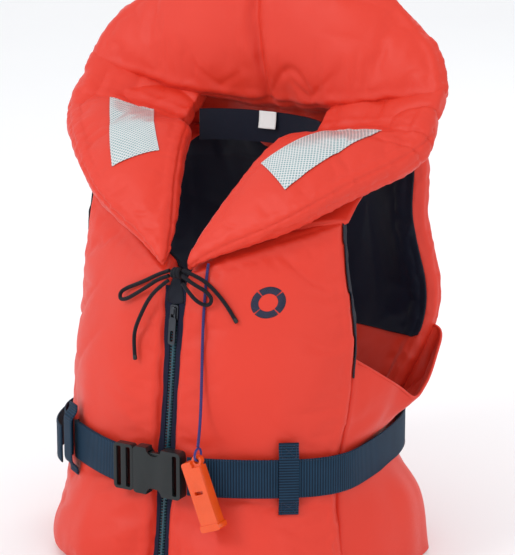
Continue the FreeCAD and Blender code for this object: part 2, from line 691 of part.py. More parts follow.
# ---- whistle on its cord ----
def whistle():
    """A pealess whistle, hung by the eye at its corner on a ring of cord."""
    width, depth, height = WHISTLE_SIZE
    body = rounded_box(-width / 2, width / 2, -depth / 2, depth / 2, -height, 0, 3.0)
    body = body.fuse(rounded_box(-width / 2 - 1.5, width / 2 + 1.5, -depth / 2 - 1, depth / 2 + 1,
                                 -height, -height + 7, 2.5))
    body = body.cut(box(-6, 6, -1.5, 1.5, -height - 1, -height + 24))
    body = body.cut(rounded_box(-5, 5, -depth, -1.0, -34, -30.5, 1.0))
    lug_foot = Vector(EYE[0], -LUG_THICK / 2, EYE[1])
    body = body.cut(box(EYE[0] - LUG_RADIUS, width, -depth, -LUG_THICK / 2, EYE[1] - LUG_RADIUS, 1))
    body = body.cut(box(EYE[0] - LUG_RADIUS, width, LUG_THICK / 2, depth, EYE[1] - LUG_RADIUS, 1))
    body = body.fuse(Part.makeCylinder(LUG_RADIUS, LUG_THICK, lug_foot, Vector(0, 1, 0)))
    body = body.cut(Part.makeCylinder(EYE_RADIUS, depth, Vector(EYE[0], -depth / 2, EYE[1]), Vector(0, 1, 0)))
    placed = turned(body.removeSplitter(), Vector(0, 0, 0), Vector(0, 1, 0), -WHISTLE_TILT)
    placed.translate(WHISTLE_TOP)
    save("whistle", placed)
    save("whistle_ring", Part.makeTorus(RING_RADIUS, RING_WIRE, ring_centre(), Vector(1, 0, 0)))


def ring_centre():
    tilt = math.radians(WHISTLE_TILT)
    across, up = EYE
    eye = Vector(across * math.cos(tilt) - up * math.sin(tilt), 0, across * math.sin(tilt) + up * math.cos(tilt))
    return WHISTLE_TOP + eye + Vector(0, 0, RING_RADIUS)


def whistle_cord():
    """Sewn down under the left lapel, it lies on the front panel and crosses the belt."""
    end = ring_centre() + Vector(0, 0, RING_RADIUS + RING_WIRE + 1.2)
    cord("whistle_cord", ((33.5, -106.6, 331), (34.5, -112.5, 316), (35.5, -117.5, 297), (38, -125.5, 268),
                          (42, -134, 233), (47, -144.5, 196), (52, -156, 172), tuple(end)), WHISTLE_CORD)


front_panels()
armhole_bindings()
back_panel()
side_gussets()
shoulder_straps()
lapels()
head_support()
neck_band()
zip_parts()
zip_slider()
zip_pull()
waist_belt()
belt_loops()
buckle()
neck_lace()
whistle()
whistle_cord()
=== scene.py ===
"""A foam life jacket on a pale floor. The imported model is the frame, and every piece here takes its
place from it. Lengths are metres, or millimetres times MM."""
import json
import math

import bmesh
import bpy
import numpy as np
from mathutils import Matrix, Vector
from mathutils.bvhtree import BVHTree
from mathutils.kdtree import KDTree

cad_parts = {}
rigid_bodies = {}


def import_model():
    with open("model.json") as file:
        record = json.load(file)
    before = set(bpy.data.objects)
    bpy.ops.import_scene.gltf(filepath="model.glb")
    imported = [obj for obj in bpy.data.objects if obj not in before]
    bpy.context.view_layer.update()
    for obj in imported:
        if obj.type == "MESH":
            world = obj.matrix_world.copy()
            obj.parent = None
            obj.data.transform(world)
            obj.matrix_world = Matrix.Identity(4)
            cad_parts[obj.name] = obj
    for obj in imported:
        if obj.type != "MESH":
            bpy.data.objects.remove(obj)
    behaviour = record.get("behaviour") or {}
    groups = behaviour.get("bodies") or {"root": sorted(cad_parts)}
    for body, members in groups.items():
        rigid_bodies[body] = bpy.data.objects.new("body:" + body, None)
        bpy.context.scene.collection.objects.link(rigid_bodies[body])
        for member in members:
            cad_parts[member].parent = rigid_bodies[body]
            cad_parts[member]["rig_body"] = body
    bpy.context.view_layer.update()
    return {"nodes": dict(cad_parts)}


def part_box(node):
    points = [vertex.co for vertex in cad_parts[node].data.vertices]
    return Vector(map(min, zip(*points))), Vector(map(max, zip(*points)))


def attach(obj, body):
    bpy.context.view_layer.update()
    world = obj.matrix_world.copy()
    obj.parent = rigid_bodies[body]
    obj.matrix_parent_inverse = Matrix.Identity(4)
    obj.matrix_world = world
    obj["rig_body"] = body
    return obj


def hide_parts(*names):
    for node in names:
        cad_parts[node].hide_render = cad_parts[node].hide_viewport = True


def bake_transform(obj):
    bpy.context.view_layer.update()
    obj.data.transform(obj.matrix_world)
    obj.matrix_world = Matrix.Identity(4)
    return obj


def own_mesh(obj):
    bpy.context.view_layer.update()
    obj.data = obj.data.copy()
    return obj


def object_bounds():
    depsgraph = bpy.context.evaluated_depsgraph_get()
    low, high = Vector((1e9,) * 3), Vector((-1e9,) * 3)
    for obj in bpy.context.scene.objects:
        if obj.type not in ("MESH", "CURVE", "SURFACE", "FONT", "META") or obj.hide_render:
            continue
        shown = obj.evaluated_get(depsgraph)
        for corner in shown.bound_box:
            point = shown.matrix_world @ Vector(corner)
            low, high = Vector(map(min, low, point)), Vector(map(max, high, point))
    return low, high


MM = 0.001
SHIFT_Y = -2.234            # where the jacket's own origin lies in the frame, mm
SIDES = {"left": 1, "right": -1}

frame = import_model()
nodes = frame["nodes"]


# ---- camera ----
CAMERA_AZIMUTH = math.radians(30)
CAMERA_ELEVATION = math.radians(15)
CAMERA_DISTANCE = 2.6
CAMERA_TARGET = Vector((0.0209, 0.0100, 0.2874))
CAMERA_LENS = 163


def add_camera():
    data = bpy.data.cameras.new("camera")
    data.lens = CAMERA_LENS
    data.sensor_width = 36
    camera = linked("camera", data)
    level = math.cos(CAMERA_ELEVATION)
    away = Vector((math.sin(CAMERA_AZIMUTH) * level, -math.cos(CAMERA_AZIMUTH) * level,
                   math.sin(CAMERA_ELEVATION)))
    camera.location = CAMERA_TARGET + away * CAMERA_DISTANCE
    camera.rotation_euler = away.to_track_quat("Z", "Y").to_euler()
    bpy.context.scene.camera = camera


# ---- materials ----
def shader(name, colour, roughness, metallic=0.0, **sockets):
    """A new material with a Principled shader, and its tree, for the maker functions below."""
    material = bpy.data.materials.new(name)
    material.use_nodes = True
    tree = material.node_tree
    bsdf = tree.nodes["Principled BSDF"]
    bsdf.inputs["Base Color"].default_value = (*colour, 1)
    bsdf.inputs["Roughness"].default_value = roughness
    bsdf.inputs["Metallic"].default_value = metallic
    for socket, value in sockets.items():
        bsdf.inputs[socket.replace("_", " ")].default_value = value
    return material, tree, bsdf


def add_node(tree, kind, links=None, **values):
    """Adds a node. values name its properties or input sockets, links its inputs' sources."""
    node = tree.nodes.new(kind)
    for key, value in values.items():
        if hasattr(node, key):
            setattr(node, key, value)
        else:
            node.inputs[key.replace("_", " ")].default_value = value
    for socket, source in (links or {}).items():
        tree.links.new(source, node.inputs[socket])
    return node


def position(tree, scale=(1, 1, 1), rotation=(0, 0, 0), source="Object"):
    coordinates = add_node(tree, "ShaderNodeTexCoord")
    mapping = add_node(tree, "ShaderNodeMapping", {"Vector": coordinates.outputs[source]},
                       Scale=scale, Rotation=rotation)
    return mapping.outputs["Vector"]


def maths(tree, operation, a, b=0.0):
    node = tree.nodes.new("ShaderNodeMath")
    node.operation = operation
    for i, value in enumerate((a, b)):
        if isinstance(value, (int, float)):
            node.inputs[i].default_value = value
        else:
            tree.links.new(value, node.inputs[i])
    return node.outputs[0]


def blend_colours(tree, factor, dark, light):
    ramp = add_node(tree, "ShaderNodeValToRGB", {"Fac": factor})
    ramp.color_ramp.elements[0].color = (*dark, 1)
    ramp.color_ramp.elements[1].color = (*light, 1)
    return ramp.outputs["Color"]


def bumps(tree, bsdf, *layers):
    """Stacks bump layers, each (height, distance in metres, strength), onto the shader."""
    normal = None
    for height, distance, strength in layers:
        links = {"Height": height}
        if normal is not None:
            links["Normal"] = normal
        node = add_node(tree, "ShaderNodeBump", links, Distance=distance, Strength=strength)
        normal = node.outputs["Normal"]
    tree.links.new(normal, bsdf.inputs["Normal"])


def noise_texture(tree, scale, detail=2.0, stretch=(1, 1, 1), source="Object"):
    return add_node(tree, "ShaderNodeTexNoise", {"Vector": position(tree, stretch, source=source)},
                    Scale=scale, Detail=detail).outputs["Fac"]


def waves(tree, axis, pitch, source="Object", rotation=(0, 0, 0)):
    """A smooth wave along one axis with that pitch in metres."""
    separate = add_node(tree, "ShaderNodeSeparateXYZ",
                        {"Vector": position(tree, source=source, rotation=rotation)})
    phase = maths(tree, "MULTIPLY", separate.outputs[axis], 2 * math.pi / pitch)
    return maths(tree, "MULTIPLY_ADD", maths(tree, "SINE", phase), 0.5)


def weave(tree, pitch):
    """Plain weave: warp and weft that pass over each other."""
    warp = waves(tree, "X", pitch, rotation=(0, 0, math.radians(35)))
    weft = waves(tree, "Z", pitch)
    return maths(tree, "ABSOLUTE", maths(tree, "SUBTRACT", warp, weft))


def nylon(name, colour, shade, roughness, sheen, thread=0.7 * MM, gloss=0.36):
    material, tree, bsdf = shader(name, colour, roughness)
    bsdf.inputs["Sheen Weight"].default_value = sheen
    bsdf.inputs["Sheen Roughness"].default_value = 0.4
    bsdf.inputs["Specular IOR Level"].default_value = gloss
    clouds = noise_texture(tree, 9.0, 4.0)
    tree.links.new(blend_colours(tree, clouds, shade, colour), bsdf.inputs["Base Color"])
    rough = add_node(tree, "ShaderNodeMapRange", {"Value": noise_texture(tree, 60.0)})
    rough.inputs["To Min"].default_value = roughness - 0.06
    rough.inputs["To Max"].default_value = roughness + 0.06
    tree.links.new(rough.outputs["Result"], bsdf.inputs["Roughness"])
    crumple = noise_texture(tree, 38.0, 3.0)
    bumps(tree, bsdf, (crumple, 1.6 * MM, 0.40), (weave(tree, thread), 0.08 * MM, 0.5))
    return material


def webbing_material(name, colour, shade, pitch=2.8 * MM):
    """Ribbed webbing, with painted shade in the grooves between its ribs and lighter crests, over a random
    cloudy tone. The mesh's UV runs in metres, along and across the strap.
    """
    material, tree, bsdf = shader(name, colour, 0.65)
    bsdf.inputs["Specular IOR Level"].default_value = 0.16
    ribs = waves(tree, "X", pitch, source="UV")
    threads = waves(tree, "Y", 0.9 * MM, source="UV")
    clouds = noise_texture(tree, 45.0, 3.0)
    # painted shade: the rib wave darkens the colour towards the second colour in the grooves and lightens
    # it on the crests; the clouds add random tone
    rib_shade_and_tone = maths(tree, "MULTIPLY", maths(tree, "ADD", ribs, maths(tree, "MULTIPLY", clouds, 0.4)), 0.72)
    tree.links.new(blend_colours(tree, rib_shade_and_tone, shade, colour), bsdf.inputs["Base Color"])
    bumps(tree, bsdf, (ribs, 0.55 * MM, 0.8), (threads, 0.12 * MM, 0.45))
    return material


def plastic(name, colour, roughness, grain=900.0, depth=0.05 * MM, **sockets):
    material, tree, bsdf = shader(name, colour, roughness, **sockets)
    wear = noise_texture(tree, 55.0, 4.0)
    lighter = tuple(min(1.0, c * 1.35 + 0.004) for c in colour)
    tree.links.new(blend_colours(tree, wear, colour, lighter), bsdf.inputs["Base Color"])
    bumps(tree, bsdf, (noise_texture(tree, grain, 2.0), depth, 0.5))
    return material


def braided(name, colour, strand_gap_shade, pitch):
    """Braided cord, with painted shade in the gaps between its strands. A curve's UV runs along it in x and
    round it in y, both from 0 to 1.
    """
    material, tree, bsdf = shader(name, colour, 0.62)
    bsdf.inputs["Sheen Weight"].default_value = 0.03
    bsdf.inputs["Specular IOR Level"].default_value = 0.20
    one = waves(tree, "X", pitch, source="UV", rotation=(0, 0, math.radians(40)))
    two = waves(tree, "X", pitch, source="UV", rotation=(0, 0, math.radians(-40)))
    plait = maths(tree, "MAXIMUM", one, two)
    # painted shade: where the plait is low, between the strands, the colour goes to the darker second
    # colour
    tree.links.new(blend_colours(tree, plait, strand_gap_shade, colour), bsdf.inputs["Base Color"])
    bumps(tree, bsdf, (plait, 0.45 * MM, 0.9), (noise_texture(tree, 2500.0), 0.1 * MM, 0.4))
    return material


def reflective(name):
    """Silver prismatic tape: welded cells round darker dots, with a faint fold or two."""
    material, tree, bsdf = shader(name, (0.62, 0.66, 0.66), 0.28, metallic=0.35)
    uv = position(tree, (1, 1, 1), rotation=(0, 0, math.radians(45)), source="UV")
    cells = add_node(tree, "ShaderNodeTexVoronoi", {"Vector": uv}, Scale=1 / (3.0 * MM), Randomness=0.0)
    cells.feature = "DISTANCE_TO_EDGE"
    wall = maths(tree, "LESS_THAN", cells.outputs["Distance"], 0.10)
    dots = add_node(tree, "ShaderNodeTexVoronoi", {"Vector": uv}, Scale=1 / (3.0 * MM), Randomness=0.0)
    dot = maths(tree, "LESS_THAN", dots.outputs["Distance"], 0.30)
    clouds = noise_texture(tree, 50.0, 3.0)
    silver = blend_colours(tree, clouds, (0.34, 0.39, 0.40), (0.68, 0.69, 0.68))
    mix = add_node(tree, "ShaderNodeMix", {"Factor": dot}, data_type="RGBA")
    tree.links.new(silver, mix.inputs[6])
    mix.inputs[7].default_value = (0.20, 0.36, 0.38, 1)
    edge = add_node(tree, "ShaderNodeMix", {"Factor": wall}, data_type="RGBA")
    tree.links.new(mix.outputs[2], edge.inputs[6])
    edge.inputs[7].default_value = (0.74, 0.75, 0.74, 1)
    tree.links.new(edge.outputs[2], bsdf.inputs["Base Color"])
    bumps(tree, bsdf, (noise_texture(tree, 70.0, 3.0), 0.9 * MM, 0.5),
          (cells.outputs["Distance"], 0.12 * MM, 0.6))
    return material


def steel(name, colour, roughness):
    material, tree, bsdf = shader(name, colour, roughness, metallic=1.0)
    scratches = noise_texture(tree, 700.0, 2.0, (1, 1, 0.08))
    bumps(tree, bsdf, (scratches, 0.03 * MM, 0.5))
    return material


def floor_material():
    material, tree, bsdf = shader("floor_paint", (0.93, 0.93, 0.93), 0.75)
    clouds = noise_texture(tree, 1.4, 3.0)
    tree.links.new(blend_colours(tree, clouds, (0.90, 0.90, 0.905), (0.94, 0.94, 0.94)),
                   bsdf.inputs["Base Color"])
    bumps(tree, bsdf, (noise_texture(tree, 220.0), 0.2 * MM, 0.2))
    return material


ORANGE = nylon("orange_nylon_cloth", (0.69, 0.037, 0.016), (0.62, 0.029, 0.012), 0.48, 0.04)
SEAM_ORANGE = nylon("orange_seam_thread", (0.70, 0.040, 0.022), (0.60, 0.034, 0.020), 0.62, 0.2, 0.5 * MM)
LINING = nylon("navy_lining_cloth", (0.010, 0.013, 0.026), (0.005, 0.006, 0.013), 0.48, 0.0, gloss=0.14)
BINDING = nylon("navy_binding_tape", (0.011, 0.014, 0.026), (0.005, 0.007, 0.013), 0.60, 0.03,
                thread=0.9 * MM, gloss=0.2)
LABEL = nylon("white_label_cloth", (0.80, 0.80, 0.78), (0.74, 0.74, 0.73), 0.6, 0.2, 0.5 * MM)
# The second colour of each webbing is the painted shade of its rib grooves.
WEBBING = webbing_material("navy_webbing", (0.012, 0.048, 0.095), (0.0008, 0.003, 0.010))
ZIP_TAPE = webbing_material("zip_tape_weave", (0.022, 0.027, 0.060), (0.008, 0.010, 0.026), 0.9 * MM)
BLACK_PLASTIC = plastic("buckle_black_plastic", (0.006, 0.009, 0.010), 0.34, Specular_IOR_Level=0.36)
TEETH = plastic("zip_teeth_plastic", (0.018, 0.070, 0.095), 0.30)
WHISTLE = plastic("whistle_orange_plastic", (0.62, 0.062, 0.003), 0.22, depth=0.02 * MM,
                  Subsurface_Weight=0.2, Subsurface_Radius=(0.004, 0.0015, 0.0005), Coat_Weight=0.15)
# The second colour of each cord is the painted shade between its strands.
LACE = braided("lace_black_braid", (0.010, 0.011, 0.018), (0.002, 0.002, 0.004), 0.020)
CORD = braided("whistle_cord_braid", (0.075, 0.060, 0.26), (0.016, 0.012, 0.07), 0.013)
TAPE = reflective("silver_reflective_tape")
STEEL = steel("slider_steel", (0.060, 0.065, 0.075), 0.30)
THREAD = nylon("navy_thread", (0.020, 0.024, 0.060), (0.012, 0.014, 0.038), 0.5, 0.2, 0.4 * MM)


# ---- mesh helpers ----
def place(point):
    """A point in the jacket's own millimetres, in the frame's metres."""
    return Vector((point[0] * MM, (point[1] + SHIFT_Y) * MM, point[2] * MM))


def linked(name, data):
    """A new object in the scene."""
    obj = bpy.data.objects.new(name, data)
    bpy.context.scene.collection.objects.link(obj)
    return obj


def paint(mesh, material):
    mesh.materials.clear()
    mesh.materials.append(material)


def dress(obj, material, smooth=True, sharp=None):
    """Gives an object its material and shading. sharp is the angle in degrees that stays crisp."""
    paint(obj.data, material)
    obj.data.polygons.foreach_set("use_smooth", [smooth] * len(obj.data.polygons))
    if sharp:
        obj.data.set_sharp_from_angle(angle=math.radians(sharp))
    return obj


def add_object(name, mesh, material, body="jacket", smooth=True):
    obj = dress(linked(name, mesh), material, smooth)
    if body:
        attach(obj, body)
    return obj


def mesh_of(name, points, faces):
    mesh = bpy.data.meshes.new(name)
    mesh.from_pydata([tuple(p) for p in points], [], [tuple(int(i) for i in f) for f in faces])
    mesh.update()
    return mesh


def coordinates(mesh):
    flat = np.empty(len(mesh.vertices) * 3)
    mesh.vertices.foreach_get("co", flat)
    return flat.reshape(-1, 3)


def normals(mesh):
    flat = np.empty(len(mesh.vertices) * 3)
    mesh.vertex_normals.foreach_get("vector", flat)
    return flat.reshape(-1, 3)


def set_coordinates(mesh, points):
    mesh.vertices.foreach_set("co", np.asarray(points).ravel())
    mesh.update()


def applied(obj):
    """Applies the object's modifiers."""
    graph = bpy.context.evaluated_depsgraph_get()
    graph.update()
    mesh = bpy.data.meshes.new_from_object(obj.evaluated_get(graph))
    obj.modifiers.clear()
    obj.data = mesh
    return mesh


def cloth_object(name, mesh, material, thickness, offset=1, sharp=50):
    """A piece of cloth: an open mesh given its thickness on one side, or on both where offset is 0."""
    obj = linked(name, mesh)
    solid = obj.modifiers.new("thick", "SOLIDIFY")
    solid.thickness = thickness
    solid.offset = offset
    applied(obj)
    return dress(obj, material, sharp=sharp)


def cloth_area(obj):
    """The area of one side of a piece of cloth."""
    obj.data.calc_loop_triangles()
    return sum(t.area for t in obj.data.loop_triangles) / 2


def faced_outward(mesh):
    bm = bmesh.new()
    bm.from_mesh(mesh)
    bmesh.ops.recalc_face_normals(bm, faces=bm.faces)
    bm.to_mesh(mesh)
    bm.free()
    return mesh


def lay_uv(mesh, place_of):
    """UVs for a mesh. place_of gives u and v for a point's number."""
    uv = mesh.uv_layers.new(name="surface")
    for loop in mesh.loops:
        uv.data[loop.index].uv = place_of(loop.vertex_index)


def node_arrays(names):
    """The corner points and triangles of some CAD nodes."""
    points, triangles, count = [], [], 0
    for name in names:
        mesh = nodes[name].data
        mesh.calc_loop_triangles()
        flat = np.empty(len(mesh.loop_triangles) * 3, np.int32)
        mesh.loop_triangles.foreach_get("vertices", flat)
        points.append(coordinates(mesh))
        triangles.append(flat.reshape(-1, 3) + count)
        count += len(mesh.vertices)
    return np.vstack(points), np.vstack(triangles)


def tree_of_nodes(names):
    points, triangles = node_arrays(names)
    return BVHTree.FromPolygons([tuple(p) for p in points], [tuple(int(i) for i in t) for t in triangles])


def tree_of_mesh(mesh):
    mesh.calc_loop_triangles()
    return BVHTree.FromPolygons([v.co[:] for v in mesh.vertices],
                                [tuple(t.vertices) for t in mesh.loop_triangles])


def distances(tree, points, reach=0.05):
    """How far each point is from the tree's surface, up to reach."""
    found = (tree.find_nearest(Vector(p), reach) for p in points)
    return np.array([reach if hit[3] is None else hit[3] for hit in found])


def noise(points, size, seed):
    """Smooth noise from -1 to 1 with one hill or so to each size, a number or one for each axis."""
    q = points / np.asarray(size, float) + 3.7 * seed
    cell = np.floor(q).astype(np.int64)
    part = q - cell
    part = part * part * (3 - 2 * part)
    total = np.zeros(len(points))
    for corner in np.ndindex(2, 2, 2):
        c = cell + np.array(corner)
        h = c[:, 0] * 73856093 ^ c[:, 1] * 19349663 ^ c[:, 2] * 83492791 ^ seed * 2654435
        h = (h ^ (h >> 13)) * 1274126177 & 0xFFFFFFFF
        h = (h ^ (h >> 16)) & 0xFFFF
        weight = np.prod(np.where(np.array(corner) == 1, part, 1 - part), axis=1)
        total += (h / 32767.5 - 1) * weight
    return total


def smooth_step(value, low, high):
    t = np.clip((value - low) / (high - low), 0, 1)
    return t * t * (3 - 2 * t)


def bell(value, centre, width):
    return np.exp(-((value - centre) / width) ** 2)


def folds(points, along, across, length, width, seed):
    """Long soft creases: 0 between them, 1 on a crease, running in the direction along."""
    along = np.asarray(along, float) / np.linalg.norm(along)
    across = np.asarray(across, float) / np.linalg.norm(across)
    third = np.cross(along, across)
    frame_points = np.stack([points @ along, points @ across, points @ third], axis=1)
    value = noise(frame_points, (length, width, width * 3), seed)
    return np.clip(1 - np.abs(value) * 3.2, 0, 1) ** 2


def catmull(points, t):
    """A point on the smooth curve through points, t from 0 to 1. points is an array of rows."""
    count = len(points) - 1
    at = min(max(t, 0.0), 1.0) * count
    i = min(int(at), count - 1)
    f = at - i
    p1, p2 = points[i], points[i + 1]
    p0 = points[i - 1] if i > 0 else 2 * p1 - p2
    p3 = points[i + 2] if i + 2 <= count else 2 * p2 - p1
    return 0.5 * (2 * p1 + (p2 - p0) * f + (2 * p0 - 5 * p1 + 4 * p2 - p3) * f ** 2
                  + (3 * p1 - p0 - 3 * p2 + p3) * f ** 3)


def grid_through(rows, columns_count, rows_count):
    """A grid of points on the smooth surface through rows of the jacket's own millimetres."""
    net = np.array(rows, float)
    net[:, :, 1] += SHIFT_Y
    net *= MM
    grid = []
    for j in range(rows_count):
        line = np.array([catmull(net[:, i], j / (rows_count - 1)) for i in range(net.shape[1])])
        grid.append([catmull(line, i / (columns_count - 1)) for i in range(columns_count)])
    return np.array(grid)


def grid_faces(rows_count, columns_count, closed=False):
    faces = []
    for j in range(rows_count - 1):
        for i in range(columns_count if closed else columns_count - 1):
            k = (i + 1) % columns_count
            faces.append((j * columns_count + i, j * columns_count + k,
                          (j + 1) * columns_count + k, (j + 1) * columns_count + i))
    return faces


def tube_faces(rings, count, first=0):
    """The faces of a capped tube of rings with count points each, numbered from first."""
    faces = grid_faces(rings, count, closed=True)
    faces.append(tuple(range(count))[::-1])
    faces.append(tuple(range((rings - 1) * count, rings * count)))
    return [tuple(first + i for i in face) for face in faces]


def loft(sections):
    """Closed skin through closed sections with the same number of points."""
    return [p for section in sections for p in section], tube_faces(len(sections), len(sections[0]))


def ring_round(centre, side, up, radius, count, flat=1.0):
    """A circle of points, or an oval where flat isn't 1."""
    turns = (math.tau * k / count for k in range(count))
    return [centre + (side * math.cos(turn) + up * math.sin(turn) * flat) * radius for turn in turns]


# ---- lines ----
def run_along(path):
    """How far along the path each of its points is."""
    run = [0.0]
    for a, b in zip(path, path[1:]):
        run.append(run[-1] + (b - a).length)
    return run


def heading(path, i):
    return (path[min(i + 1, len(path) - 1)] - path[max(i - 1, 0)]).normalized()


def resampled(path, step):
    """The same line with points a step apart."""
    path = [Vector(p) for p in path]
    run = run_along(path)
    count = max(2, int(run[-1] / step))
    result, i = [], 0
    for k in range(count + 1):
        at = run[-1] * k / count
        while i < len(run) - 2 and run[i + 1] < at:
            i += 1
        f = (at - run[i]) / max(run[i + 1] - run[i], 1e-9)
        result.append(path[i].lerp(path[i + 1], f))
    return result


def smoothed(path, times=2):
    for _ in range(times):
        inner = [(a + b * 2 + c) / 4 for a, b, c in zip(path, path[1:], path[2:])]
        path = [path[0]] + inner + [path[-1]]
    return path


# ---- straps of webbing ----
STRAP_PROFILE = ((-0.5, -0.30), (-0.47, -0.5), (-0.25, -0.5), (0.0, -0.5), (0.25, -0.5), (0.47, -0.5),
                 (0.5, -0.30), (0.5, 0.30), (0.47, 0.5), (0.25, 0.5), (0.0, 0.5), (-0.25, 0.5),
                 (-0.47, 0.5), (-0.5, 0.30))


def strap(name, path, out, width, thickness, material, body="jacket", across=None):
    """A flat strap along path with its face towards out, given for each point. Its UV is in metres."""
    path = [Vector(p) for p in path]
    points, run = [], run_along(path)
    for i, p in enumerate(path):
        ahead = heading(path, i)
        face = Vector(out[i] if isinstance(out, list) else out)
        side = across.copy() if across is not None else ahead.cross(face).normalized()
        face = side.cross(ahead).normalized()
        points += [p + side * (u * width) + face * (v * thickness) for u, v in STRAP_PROFILE]
    count = len(STRAP_PROFILE)
    mesh = mesh_of(name, points, tube_faces(len(path), count))
    lay_uv(mesh, lambda index: (run[index // count], STRAP_PROFILE[index % count][0] * width))
    return add_object(name, faced_outward(mesh), material, body)


# ---- stitches ----
THREAD_RINGS = 5
THREAD_SIDES = 6


def stitches(name, path, out, material, body="jacket", pitch=3.2 * MM, thread=0.55 * MM,
             lift=0.25 * MM):
    """A row of short raised threads along path, on the side of out."""
    line = resampled(path, pitch)
    points, faces = [], []
    for start, end in zip(line, line[1:]):
        a, b = start.lerp(end, 0.10), start.lerp(end, 0.86)
        ahead = (b - a).normalized()
        up = Vector(out(a) if callable(out) else out).normalized()
        side = ahead.cross(up).normalized()
        up = side.cross(ahead)
        faces += tube_faces(THREAD_RINGS, THREAD_SIDES, len(points))
        for k in range(THREAD_RINGS):
            f = k / (THREAD_RINGS - 1)
            hump = math.sin(math.pi * f)
            points += ring_round(a.lerp(b, f) + up * (lift * hump), side, up,
                                 thread / 2 * (0.35 + 0.65 * hump), THREAD_SIDES, 0.7)
    return add_object(name, mesh_of(name, points, faces), material, body)


# ---- cords ----
def cord_curve(name, route, diameter, material, body="jacket"):
    curve = bpy.data.curves.new(name, "CURVE")
    curve.dimensions = "3D"
    curve.bevel_depth = diameter * MM / 2
    curve.bevel_resolution = 4
    curve.resolution_u = 12
    curve.use_fill_caps = True
    spline = curve.splines.new("NURBS")
    spline.points.add(len(route) - 1)
    for point, target in zip(spline.points, route):
        point.co = (*place(target), 1)
    spline.order_u = 3
    spline.use_endpoint_u = True
    curve.materials.append(material)
    obj = linked(name, curve)
    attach(obj, body)
    return obj


LACE_DIAMETER = 4.0
WHISTLE_CORD_DIAMETER = 3.0
LOOP_LEFT = ((-2.8, -121, 322.4), (-15, -120, 317.5), (-32, -118, 308), (-46, -115.5, 301),
             (-57, -114.5, 296), (-65, -116, 290.5), (-63, -119.5, 284), (-54, -121.5, 286),
             (-42, -122.5, 293.5), (-27, -124, 303.5), (-13, -125, 313.5), (-1.5, -124.6, 318))
LOOP_RIGHT = ((13, -123, 319.6), (22, -124.5, 315.5), (31, -124.5, 311.5), (40, -123, 307.5),
              (46.5, -122, 301), (45, -122.5, 294), (38, -124, 293), (31, -127, 297.5), (24, -129, 305.5),
              (16, -127.6, 313))
TAIL_LEFT = ((-0.5, -126.5, 314), (-9, -130.5, 307), (-21, -131, 294), (-30, -131.5, 277), (-37, -133, 260),
             (-37.5, -134.5, 246), (-34.5, -137, 230))
TAIL_RIGHT = ((12.5, -121, 324.5), (24, -120.5, 321.5), (37, -118, 315.5), (50, -116.5, 304.5),
              (61.5, -114.5, 290.5), (70, -114, 277.5))
WHISTLE_CORD = ((33.5, -106.6, 331), (34.5, -112.5, 316), (35.5, -117.5, 297), (38, -125.5, 268),
                (42, -134, 233), (47, -144.5, 196), (52, -156, 172), (54.893, -164, 160.175))


def neck_lace():
    """The bow: two loops and two tails from one knot."""
    facts = (("lace_loop_left", "tie_loop_left", LOOP_LEFT, 0.147, "object"),
             ("lace_loop_right", "tie_loop_right", LOOP_RIGHT, 0.082, "object"),
             ("lace_tail_left", "tie_tail_left", TAIL_LEFT, 0.097, "bare"),
             ("lace_tail_right", "tie_tail_right", TAIL_RIGHT, 0.077, "bare"))
    for name, node, route, length, far_end in facts:
        piece = cord_curve(name, route, LACE_DIAMETER, LACE)
        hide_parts(node)
    knot_wraps()
    for side, route in (("left", TAIL_LEFT), ("right", TAIL_RIGHT)):
        tail_tip(side, route)


def knot_wraps():
    """The knot: a core crossed by turns of the lace."""
    low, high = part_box("tie_knot")
    middle = (low + high) / 2
    half = (high - low) / 2
    points, faces, ring, wire = [], [], 36, 10
    for shift, lean, size in ((0.0, 0.0, 0.98), (-0.45, 0.12, 0.90), (0.45, -0.12, 0.90)):
        base = len(points)
        for i in range(ring):
            a = math.tau * i / ring
            centre = Vector((shift * half.x + lean * half.x * math.sin(a),
                             math.cos(a) * (half.y - 1.7 * MM) * size,
                             math.sin(a) * (half.z - 1.7 * MM) * size))
            ahead = Vector((0, -math.sin(a) * half.y, math.cos(a) * half.z)).normalized()
            up = Vector((1, 0, 0))
            points += ring_round(middle + centre, up * 1.15, ahead.cross(up), 1.75 * MM, wire)
            j = (i + 1) % ring
            for k in range(wire):
                m = (k + 1) % wire
                faces.append((base + i * wire + k, base + j * wire + k, base + j * wire + m,
                              base + i * wire + m))
    piece = add_object("lace_knot", mesh_of("lace_knot", points, faces), LACE)
    lay_uv(piece.data, lambda index: (index // wire % ring / ring * 0.5, index % wire / wire))
    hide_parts("tie_knot")


def tail_tip(side, route):
    """The heat-sealed end of a tail: a short tight sleeve."""
    end = place(route[-1])
    back = (place(route[-2]) - end).normalized()
    across = back.orthogonal().normalized()
    other = back.cross(across)
    radius = LACE_DIAMETER * MM / 2
    sections = []
    for along, size in ((-0.9, 0.35), (-0.6, 0.85), (0.0, 1.08), (3.2, 1.10), (4.2, 1.06), (4.6, 0.80)):
        sections.append(ring_round(end + back * along * MM, across, other, radius * size, 14))
    name = "lace_tip_" + side
    add_object(name, mesh_of(name, *loft(sections)), BLACK_PLASTIC)


# ---- padded pieces ----
VOXEL = 5 * MM
GROWTH = 2.2 * MM           # from the foam block out to its cover
SWELL_FRAMES = 20
BELT_Z = 124 * MM
NEIGHBOURS = ("waist_belt", "belt_buckle_span", "belt_tail", "belt_loop_front_left",
              "belt_loop_front_right", "belt_loop_back", "buckle_socket", "buckle_plug", "tie_knot",
              "tie_loop_left", "tie_loop_right", "tie_tail_left", "tie_tail_right", "whistle_cord",
              "whistle", "zip_pull", "zip_slider", "zip_teeth_left", "zip_teeth_right")


